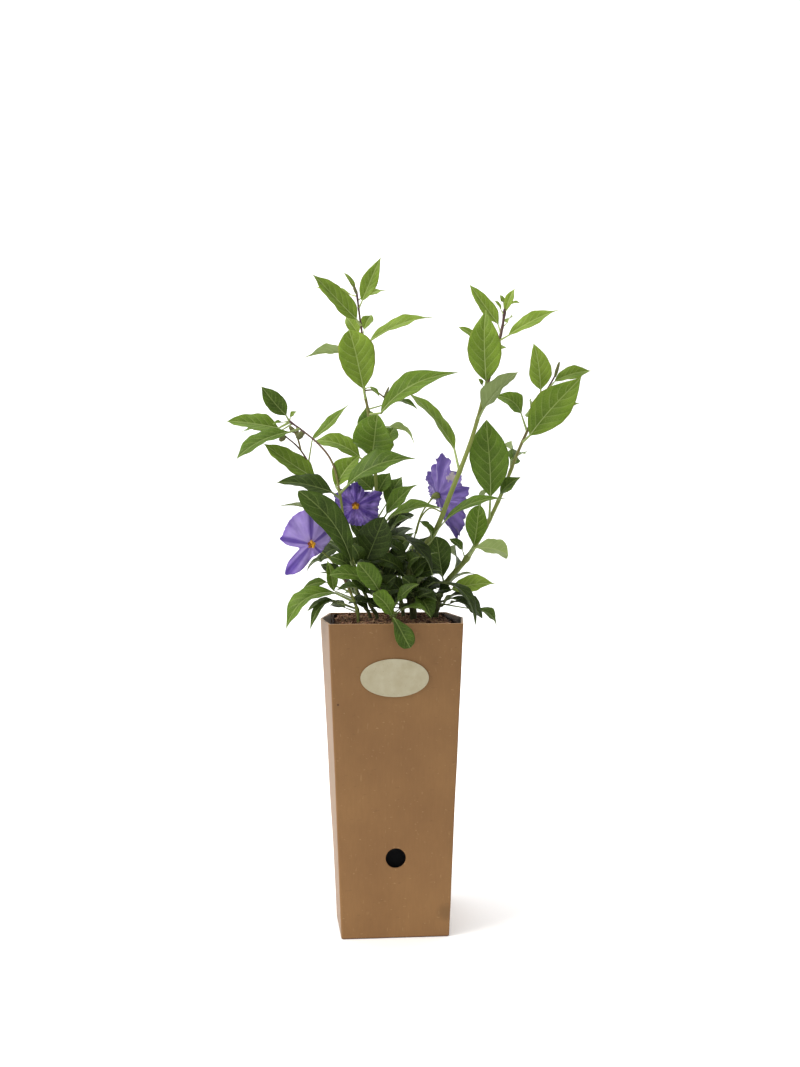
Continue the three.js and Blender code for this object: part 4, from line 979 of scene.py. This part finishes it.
def anther_parts(bloom):
    """Five anthers that lean together in a cone about the style, each a slim spindle, fullest near its
    foot."""
    out, up, right = bloom_axes(bloom["facing"])
    centre = place(*bloom["throat"]) + out * ANTHER_LIFT
    t = np.linspace(0, 1, 14)
    radii = ANTHER_RADIUS * np.sin(math.pi * (0.13 + 0.76 * t ** 0.8))
    parts = []
    for k, rust in enumerate(bloom["rust"]):
        angle = math.radians(90 + 72 * k)
        aside = right * math.cos(angle) + up * math.sin(angle)
        line = centre + out * (ANTHER_LENGTH * t)[:, None] + aside * (1.55 - 0.8 * t)[:, None]
        parts.append(tube_part(line, radii, ANTHER_SIDES, rust=rust, reach=np.repeat(t, ANTHER_SIDES)))
    style = centre + out * (np.array([0, 0.5, 1.08]) * ANTHER_LENGTH)[:, None]
    return [*parts, tube_part(style, (0.5, 0.4, 0.35), 8, rust=0.0, reach=0.0)]


# Fresh petal: thin and satiny, pale to deep violet, with a dark band down each lobe, folds that run
# outwards and a small yellow star in the throat; paler and greyer outside, with one wilted cream patch.
WILTED_SPOT = place(31.8, 261.6, 5)
WILTED_REACH = (9.8, 8.2)
WILTED_RAGGED = 12.0
petal_skin, tree, shader = start_material("satiny petal", 0.6, 0.3)
shader.inputs["Sheen Weight"].default_value = 0.25
where = add_node(tree, "TexCoord", output="Object")
tone, band, radial, outside = [add_node(tree, "Attribute", output="Fac", attribute_name=name)
                               for name in ("tone", "band", "radial", "outside")]
cloud = add_node(tree, "TexNoise", (where, 0.17 / MM, 4.0))
# The tone carries painted shade as well as the petal's own pale to deep violet
toned = made_uneven(tree, tone, cloud, 0.7)
violet = add_node(tree, "ValToRGB", (toned,), stops=((0.0, "#A392CC"), (0.5, "#7B62B2"), (1.0, "#3C2A74")))
band_reach = add_node(tree, "MapRange", (radial, 0.1, 1.0, 0.4, 0.13))
band_away = add_node(tree, "Math", (band, band_reach), operation="DIVIDE")
band_shown = add_node(tree, "MapRange", (band_away, 1.25, 0.5, 0.0, 0.8))
banded = add_node(tree, "Mix", (band_shown, violet, "#3F2182"), data_type="RGBA")
throat_away = add_node(tree, "Math", (band, -0.04, 0.125), operation="MULTIPLY_ADD")
throat_edge = add_node(tree, "Math", (radial, throat_away), operation="LESS_THAN")
inside = add_node(tree, "Math", (1.0, outside), operation="SUBTRACT")
star_shown = add_node(tree, "Math", (throat_edge, inside), operation="MULTIPLY")
starred = add_node(tree, "Mix", (star_shown, banded, "#C79A3C"), data_type="RGBA")
outside_dull = add_node(tree, "Math", (outside, 0.25), operation="MULTIPLY")
petal_colour = add_node(tree, "Mix", (outside_dull, starred, "#8072B2"), data_type="RGBA")
wilted_away = add_node(tree, "VectorMath", (where, tuple(WILTED_SPOT * MM)), operation="DISTANCE")
wilted_edge = add_node(tree, "TexNoise", (where, 0.42 / MM, 3.0))
wilted_out = add_node(tree, "Math", (wilted_edge, WILTED_RAGGED * MM, wilted_away), operation="MULTIPLY_ADD")
wilted_shown = add_node(tree, "MapRange", (wilted_out, WILTED_REACH[0] * MM, WILTED_REACH[1] * MM, 0.0, 0.7))
petal_wilted = add_node(tree, "Mix", (wilted_shown, petal_colour, "#C3B9A6"), data_type="RGBA")
crepe = add_node(tree, "TexNoise", (where, 0.9 / MM, 3.0))
finish_material(tree, shader, petal_wilted, crepe, 0.3, 0.2)

# Ripe anther: smooth and waxy, yellow-orange, turning rust-brown from its foot as it ages
anther_skin, tree, shader = start_material("waxy anther", 0.55, 0.15)
rust, along = [add_node(tree, "Attribute", output="Fac", attribute_name=name) for name in ("rust", "reach")]
fade = add_node(tree, "MapRange", (along, 0.2, 0.95, 1.0, 0.88))
rust_shown = add_node(tree, "Math", (rust, fade), operation="MULTIPLY")
anther_colour = add_node(tree, "ValToRGB", (rust_shown,), stops=((0.0, "#DFA428"), (1.0, "#501404")))
tree.links.new(anther_colour, shader.inputs["Base Color"])

draw = np.random.default_rng(23)
for side, bloom in (("left", LEFT_BLOOM), ("middle", MIDDLE_BLOOM), ("right", RIGHT_BLOOM)):
    petals = build_mesh(f"{side}_petals", corolla_part(bloom, draw), petal_skin)
    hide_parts(f"{side}_corolla")
    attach(petals, "root")
    stamens = build_mesh(f"{side}_stamens", join_parts(anther_parts(bloom)), anther_skin)
    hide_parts(f"{side}_anthers")
    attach(stamens, "root")

# Centre stem
# The tallest stem at the left, leafy up to its tip, with a short side shoot and the middle bloom.
draw = np.random.default_rng(101)
centre_stem = start_stem([
    (-5, SOIL_TOP, 0), (-9, 200, 4), (-14, 235, 8), (-14.4, 260, 6), (-18.2, 297, 0), (-21.6, 315, -2),
    (-22.6, 346, -4), (-24, 357, -5), (-26, 373, -6)], 1.6, 0.55)
centre_leaves = leaves_on(centre_stem, [
    (351, (-26, 356, -8), (-51.7, 384, -20), 15.6, 40, -1, 0.38),
    (361, (-22.6, 367, -7), (-11.3, 393.2, -12), 10.4, 20, -1, 0.38),
    (366, (-22, 369, -3), (-7.8, 373.4, 4), 6, 50, 1),
    (370, (-26.8, 374, -7), (-33.6, 384, -10), 3.4, 30, 1),
    (368, (-30, 371, 0), (-50.4, 374.8, 8), 5.5, 70, 1),
    (343, (-25, 347.4, 4), (-32.4, 357.4, 9), 10, 22, 1),
    (344, (-21.4, 350, 3), (-17, 359, 9), 8, 25, 1),
    (308, (-21.8, 314.4, -8), (-30, 349.2, -22), 22.5, 6, 3, 0.62),
    (332, (-27, 335.4, 2), (-57, 334, 8), 15, 112, 2),
    (339, (-17.6, 343.4, -6), (19, 358.6, -14), 13, 58, 2.6),
    (299, (-11.4, 300, -8), (34.6, 325, -24), 17, 46, 7, 0.38),
    (302, (-3, 307, -8), (10.8, 302, -14), 5, 60, 2),
    (269, (-17, 274.6, -4), (-13.4, 299, -28), 25, 2, 3, 0.56),
    (272, (-18.5, 281, 10), (-20, 304, 16), 15, 10, 2),
    (274, (-9, 280, 6), (-3, 292, 12), 12, 20, 2),
    (292, (-6, 292, 2), (9, 282.8, -6), 10, 112, 3),
    (266, (-24, 273.6, 4), (-52, 284, 8), 16, 46, 4),
    (250, (-16.4, 254, 8), (-27.6, 263.6, 12), 14, 24, 1),
    (248, (-13.4, 252, 9), (-5.8, 264.6, 13), 12, 20, 1),
    (314, (-18, 315.6, -6), (-12, 309.6, -12), 3.5, 40, 1),
    (206, (-20, 211.4, -14), (-9.8, 237.4, -26), 21, 8, 3, 0.56),
    (226, (-5, 230.5, -2), (7.2, 237.4, -8), 10, 70, 2),
    (231, (-8, 240, -2), (10.4, 257.8, -6), 13, 40, 2),
    (236, (-8, 246, 10), (1, 262.5, 16), 12, 20, 2),
    (226, (-8, 236, -12), (25.2, 243.6, -26), 13, 62, 4),
    (214, (-8, 226, -14), (20, 201.6, -31), 14, 62, 8),
    (212, (-17, 218, 6), (-31, 236, 4), 12, 30, 2),
    (188, (-9, 190, -7), (-22, 201, -7), 9, 40, 2),
    (196, (-8, 199, -3), (-1, 213, -5), 8, 30, 2),
    (205, (-12, 208, -5), (-25, 218, -6), 10, 40, 2),
    (183, (-3, 185, -7), (2, 196, -13), 7, 40, 2),
    (191, (-5, 193, 4), (-15, 206, 12), 10, 40, 2),
    (202, (-5, 204, 4), (6, 218, 10), 10, 40, 2)], draw, age_and_painted_light_tones={
    12: 0.62, 13: 0.6, 15: 0.85, 16: 0.82, 20: 0.14, 21: 0.5, 22: 0.55, 23: 0.5, 24: 0.66, 25: 0.08})
centre_leaves += fan_leaves(centre_stem, [288, 331], 94, 20, 26, 12, draw)
# Small dark leaves crowded about the foot of the stems, too small and too many for the solids. Their dark
# tone is partly age and partly painted shade deep in the plant.
centre_leaves += fan_leaves(
    centre_stem, range(181, 224, 3), -70, 340, 17, 10.5, draw, turn=46, tone=0.06, widest=0.6)
centre_wood = [
    stem_part(centre_stem),
    twig_part(centre_stem, 313, [(-16, 313.5, -4), (-9.6, 309.5, -8)], 0.5),
    bud_part((-26, 371, -6), (-28.2, 377.5, -8), 1),
    bud_part((-9.6, 308.5, -8), (-6.6, 315.6, -9), 0.8),
    *bloom_stalk_parts(centre_stem, 214, [(-18, 226, 6), (-24, 240, 2)], MIDDLE_BLOOM, 0.55)]
plant_pieces("centre_stem", centre_leaves, centre_wood)

# Right stem
# The long stem that leans right across the others, with the right bloom on a stalk from its foot.
draw = np.random.default_rng(102)
right_stem = start_stem([
    (8, SOIL_TOP, -4), (6, 206.6, -6), (13.2, 218.6, -9), (20.4, 228.2, -12), (30.6, 252.8, -14),
    (42, 282.2, -12), (51.6, 315.2, -8), (60.6, 348.8, -5), (62.6, 362, -4)], 2.0, 0.75)
right_leaves = leaves_on(right_stem, [
    (358, (63.3, 361.5, -5), (68.4, 374.6, -8), 5.8, 20, 1),
    (360, (61.8, 366, -5), (59.6, 370.5, -6), 3, 20, 0.5),
    (359, (66.5, 365.4, -4), (72, 365.8, -2), 3, 60, 0.5),
    (357, (60.4, 362, -6), (56.4, 367, -12), 3.5, 60, 0.5),
    (350, (64, 354, 0), (67, 357.6, 12), 6, 70, 1),
    (346, (58.6, 353, 0), (41.4, 377, 4), 10.6, 30, -1),
    (305, (51.4, 319, -14), (51, 361.6, -24), 20.4, 2, 3, 0.44),
    (342, (65, 346.6, -8), (94.8, 362, -16), 11.4, 42, 1),
    (334, (47, 343, 3), (34.7, 351.6, 6), 5.5, 40, 1),
    (294, (49.4, 302, -13), (69.6, 325.2, -20), 17.5, 126, 2),
    (312, (49.2, 317, -10), (46.8, 320.6, -14), 3, 30, 0.5),
    (264, (32.6, 278.6, -12), (5.4, 314, 2), 14, 60, 2),
    (223, (27, 236, -19), (64.8, 248.6, -26), 9, 50, 5),
    (216, (19.2, 224, -14), (11.6, 235.6, -20), 11, 70, 2),
    (200, (8, 204, -14), (18, 212.5, -22), 12, 30, 2),
    (200, (15, 206, 2), (18.5, 219, 10), 12, 20, 2),
    (190, (20, 199, -10), (45.6, 174, -24), 10.6, 64, 9, 0.55),
    (186, (12, 187, -12), (22, 188, -30), 11, 80, 3),
    (189, (10.6, 191, -15), (18.6, 178, -25), 12, 24, 3, 0.54),
    (210, (11, 214, 0), (18, 227, 5), 10, 30, 2)], draw, age_and_painted_light_tones={
    9: 0.42, 12: 0.5, 13: 0.4, 16: 0.16, 17: 0.1, 18: 0.36, 19: 0.3})
right_leaves += fan_leaves(right_stem, [336], 94, 10, 24, 11, draw)
right_leaves += fan_leaves(right_stem, [187, 193, 200], -40, 40, 18, 9, draw)
# Small dark leaves about the foot, their dark tone partly painted shade
right_leaves += fan_leaves(
    right_stem, range(181, 214, 3), -100, 340, 16, 10.5, draw, turn=42, tone=0.08, widest=0.6)
right_wood = [
    stem_part(right_stem, greenness=2.6, dark_foot=0.38),
    twig_part(right_stem, 240, [(18.4, 243.2, -12), (12.8, 238, -8), (9.6, 228, -5)], 0.5, age=0.5),
    *bloom_stalk_parts(right_stem, 196, [(8, 222, 2), (13, 240, 8)], RIGHT_BLOOM, 0.55)]
plant_pieces("right_stem", right_leaves, right_wood)

# Far-right stem
# The stoutest stem, which leans furthest out, with broad leaves near its tip and a budded point.
draw = np.random.default_rng(103)
far_stem = start_stem([
    (21, SOIL_TOP, 6), (22.4, 188, 7), (27.6, 198.8, 7), (39, 212, 6), (49.8, 229.4, 6), (60, 250.4, 7),
    (72, 280.4, 9), (87.5, 313, 13), (92.8, 322.6, 15)], 1.9, 0.55)
far_leaves = leaves_on(far_stem, [
    (308, (84, 314, 12), (79.8, 341.6, 4), 15, 14, 2),
    (316, (92.4, 319, 12), (114.4, 325.6, 8), 11, 42, 2),
    (283, (77.5, 286.6, 4), (108.6, 321.8, -4), 23, 14, 3),
    (296, (90, 300, 20), (107.4, 305.8, 26), 9, 60, 2),
    (290, (72.4, 299.8, 9), (57, 310.6, 6), 14, 40, 4),
    (236, (54, 250, 0), (51.6, 296, -4), 24, 4, 3, 0.5),
    (266, (66, 272, 12), (75, 276, 28), 12, 60, 2),
    (247, (60, 251.6, 2), (72, 261.8, -4), 10, 40, 2),
    (213, (44, 221, 0), (47, 244.8, -7), 14, 10, 2, 0.62, -1),
    (214, (44.8, 219.6, -4), (65, 216, -10), 15, 138, 2, 0.72),
    (212, (37.4, 218.4, 2), (29.4, 225, -1), 7, 50, 1),
    (197, (25.4, 202, 0), (21.6, 226.4, -1), 15, 10, 2, 0.6),
    (194, (31, 194.8, 2), (57, 198.2, -10), 13.5, 36, 1),
    (186, (31, 189.6, 10), (49.4, 177.6, 14), 14, 56, 3, 0.55),
    (184, (30, 186.4, -2), (43, 182.6, -12), 9, 70, 3),
    (186, (46, 182.6, 18), (58.2, 173, 20), 10, 58, 3)], draw, age_and_painted_light_tones={
    5: 0.56, 8: 0.6, 9: 0.9, 11: 0.32, 12: 0.95, 13: 0.16, 15: 0.42})
far_leaves += fan_leaves(far_stem, [300, 268, 232, 206], 86, 24, 28, 12, draw)
far_leaves += fan_leaves(far_stem, [183, 191], 10, 60, 20, 9, draw)
# Small dark leaves about the foot, their dark tone partly painted shade
far_leaves += fan_leaves(
    far_stem, range(179, 193, 3), -160, 240, 14, 9, draw, turn=74, tone=0.06, widest=0.6)
far_wood = [
    stem_part(far_stem, greenness=2.2, dark_foot=0.38),
    bud_part((92.4, 321.4, 15), (95.2, 330.6, 14), 1.1)]
plant_pieces("far_right_stem", far_leaves, far_wood)

# Left stem
# A thin brown stem that arches over to the left and ends in a fan of leaves.
draw = np.random.default_rng(104)
left_stem = start_stem([
    (-14, SOIL_TOP, -10), (-17, 184, -12), (-26, 205, -18), (-33, 232, -22), (-35.5, 249.4, -22),
    (-39.1, 266.9, -20), (-43, 274.8, -19), (-50, 282.7, -17), (-58, 289.2, -15), (-66, 295, -14)], 1.1, 0.5)
left_leaves = leaves_on(left_stem, [
    (294, (-68, 298.6, -14), (-82.8, 316, -18), 12.4, 22, -1),
    (293, (-72.6, 291, -12), (-103.6, 296, -12), 15, 46, 0.8),
    (289, (-66.2, 288.6, -19), (-98, 273.4, -28), 14, 50, 2.6, 0.5),
    (292, (-72, 289, -6), (-94.8, 289.4, 6), 9, 70, 2),
    (294, (-65.6, 297.6, -14), (-61.6, 301, -16), 3.5, 40, 0.5),
    (295, (-70.6, 294.6, -16), (-76, 293.4, -18), 3.5, 60, 0.5),
    (252, (-38.4, 256, -20), (-24, 275.4, -16), 15, 30, 2),
    (251, (-31.6, 256.6, -26), (9.6, 273.8, -36), 19, 50, 6),
    (199, (-28.8, 210, -27), (-60.6, 253.6, -38), 17, 24, 3, 0.6, -5),
    (248, (-40.4, 252.6, -25), (-73.4, 259, -32), 16, 46, 2),
    (206, (-32, 214, -12), (-45, 223.4, 0), 8, 50, 2)], draw, age_and_painted_light_tones={
    0: 0.42, 2: 0.55, 6: 0.76, 7: 0.5, 8: 0.32, 9: 0.28})
# Small dark leaves about the foot, their dark tone partly painted shade
left_leaves += fan_leaves(
    left_stem, range(182, 212, 4), -40, 300, 14, 10, draw, turn=44, tone=0.1, widest=0.6)
plant_pieces("left_stem", left_leaves, [stem_part(left_stem)])

# Budded stem
# The second left stem, whose tip branches into a small truss of flower buds.
draw = np.random.default_rng(105)
budded_stem = start_stem([
    (-18, SOIL_TOP, 6), (-22, 186, 7), (-34, 215, 4), (-45, 245, 0), (-54, 269, -2), (-60.6, 279.2, -3),
    (-69.6, 287, -4)], 1.1, 0.45)
budded_leaves = leaves_on(budded_stem, [
    (259, (-51, 261, -4), (-81.4, 282, -8), 17, 42, 0),
    (270, (-52.6, 284, -7), (-31.6, 306, -13), 8, 50, -1),
    (222, (-35, 219.5, 8), (-48.5, 211, 12), 11, 50, 3),
    (214, (-40, 213.6, 10), (-56, 206, 20), 10, 70, 3)], draw, age_and_painted_light_tones={0: 0.76})
budded_leaves += fan_leaves(budded_stem, [183, 190, 206, 234], 150, 60, 24, 11, draw)
budded_wood = [
    stem_part(budded_stem),
    twig_part(budded_stem, 277, [(-61.2, 285.2, -4), (-63.2, 289, -4)], 0.6),
    bud_part((-68.6, 286, -4), (-72, 283.2, -5), 1.7),
    bud_part((-63, 288.4, -4), (-66, 292, -4), 1.5),
    bud_part((-61.4, 284.6, -4), (-57, 289.4, -5), 2),
    bud_part((-61.2, 285, -4), (-61.4, 291.6, -3), 1.2)]
plant_pieces("budded_stem", budded_leaves, budded_wood)

# Low left spray
# Small leaves about a short shoot at the rim, and the stalk that carries the left bloom.
draw = np.random.default_rng(106)
low_left_stem = start_stem([
    (-25, SOIL_TOP, -14), (-26, 184, -14), (-31, 196, -12), (-37, 208, -8)], 1.1, 0.6)
low_left_leaves = leaves_on(low_left_stem, [
    (188, (-38.6, 192.6, -14), (-68.4, 170.4, -22), 17, 52, 9),
    (184, (-37.6, 188, -16), (-54, 170.6, -30), 7, 50, 6),
    (184, (-38, 187, -4), (-55.6, 182, -8), 7, 66, 3),
    (190, (-39.6, 194, -18), (-43.4, 212, -22), 7, 12, 1),
    (194, (-44, 199, -12), (-57.6, 196, -12), 7, 46, 1),
    (200, (-35, 203, -12), (-47.6, 209.6, -8), 8, 30, 1),
    (182, (-33, 184, 4), (-42, 186, 16), 8, 50, 1)], draw, age_and_painted_light_tones={0: 0.62, 1: 0.32, 3: 0.62, 4: 0.5})
low_left_wood = [
    stem_part(low_left_stem),
    *bloom_stalk_parts(low_left_stem, 205, [(-43, 214, -4), (-49, 219, -7)], LEFT_BLOOM, 0.55)]
plant_pieces("low_left_spray", low_left_leaves, low_left_wood)

# Front spray
# A short leafy shoot at the front, whose lowest leaf hangs over the rim of the sleeve.
draw = np.random.default_rng(107)
front_stem = start_stem([
    (-4, SOIL_TOP, -22), (-5, 182, -23), (-9, 190, -25), (-13, 196, -27)], 1.4, 0.7)
front_leaves = leaves_on(front_stem, [
    (191, (-15.6, 198.6, -30), (-41.8, 203.8, -37), 12.5, 42, 3, 0.56),
    (189, (-16.6, 191.6, -24), (-37.8, 194.6, -27), 11, 58, 3, 0.52),
    (192, (-12.4, 193.6, -32), (-25, 210.6, -41), 13, 26, 2, 0.58),
    (181, (-4.6, 179.2, -31), (-15.6, 192.4, -38), 12, 24, 2, 0.68),
    (180, (-3.8, 177.6, -41), (6.2, 159.6, -45.5), 11, 20, 1, 0.68),
    (181, (-0.5, 181.6, -28), (18.6, 178.8, -36), 8, 66, 4),
    (184, (-2.4, 186, -26), (10.4, 198.2, -32), 9, 46, 1.4, 0.55),
    (181, (-8, 182, -25), (-24, 188, -23), 9, 55, 2),
    (185, (-1, 189, -23), (7, 196, -27), 7, 50, 2),
    (182, (1, 184, -20), (12.5, 183, -21), 6, 70, 1)], draw, age_and_painted_light_tones={
    0: 0.48, 1: 0.3, 2: 0.5, 3: 0.6, 4: 0.36, 5: 0.4, 6: 0.4})
plant_pieces("front_spray", front_leaves, [stem_part(front_stem)])

# Rear spray
# The leafy growth at the back of the pot.
draw = np.random.default_rng(108)
rear_stem = start_stem([
    (2, SOIL_TOP, 18), (0, 190, 22), (-6, 214, 28), (-10, 236, 34)], 1.4, 0.6)
rear_leaves = fan_leaves(rear_stem, [183, 190, 197, 205, 214, 224], 85, 110, 28, 13, draw)
rear_leaves += leaves_on(rear_stem, [
    (182, (-5, 184, 19), (-19, 185.4, 17), 10, 50, 2),
    (182, (7, 184, 19), (20, 186, 16), 10, 50, 2),
    (184, (-5, 187, 20), (-21, 193, 22), 11, 50, 3),
    (187, (-6, 191, 21), (-22, 204, 16), 12, 40, 3),
    (194, (-8, 199, 24), (-26, 212, 20), 12, 40, 3),
    (208, (-11, 212, 27), (-25, 226, 22), 12, 30, 3),
    (184, (6, 187, 19), (24, 191, 17), 11, 50, 3),
    (188, (6, 192, 21), (21, 204, 18), 12, 40, 3),
    (195, (2, 200, 24), (14, 216, 20), 12, 30, 3),
    (209, (-3, 213, 28), (9, 229, 24), 12, 30, 3)], draw)
plant_pieces("rear_spray", rear_leaves, [stem_part(rear_stem)])
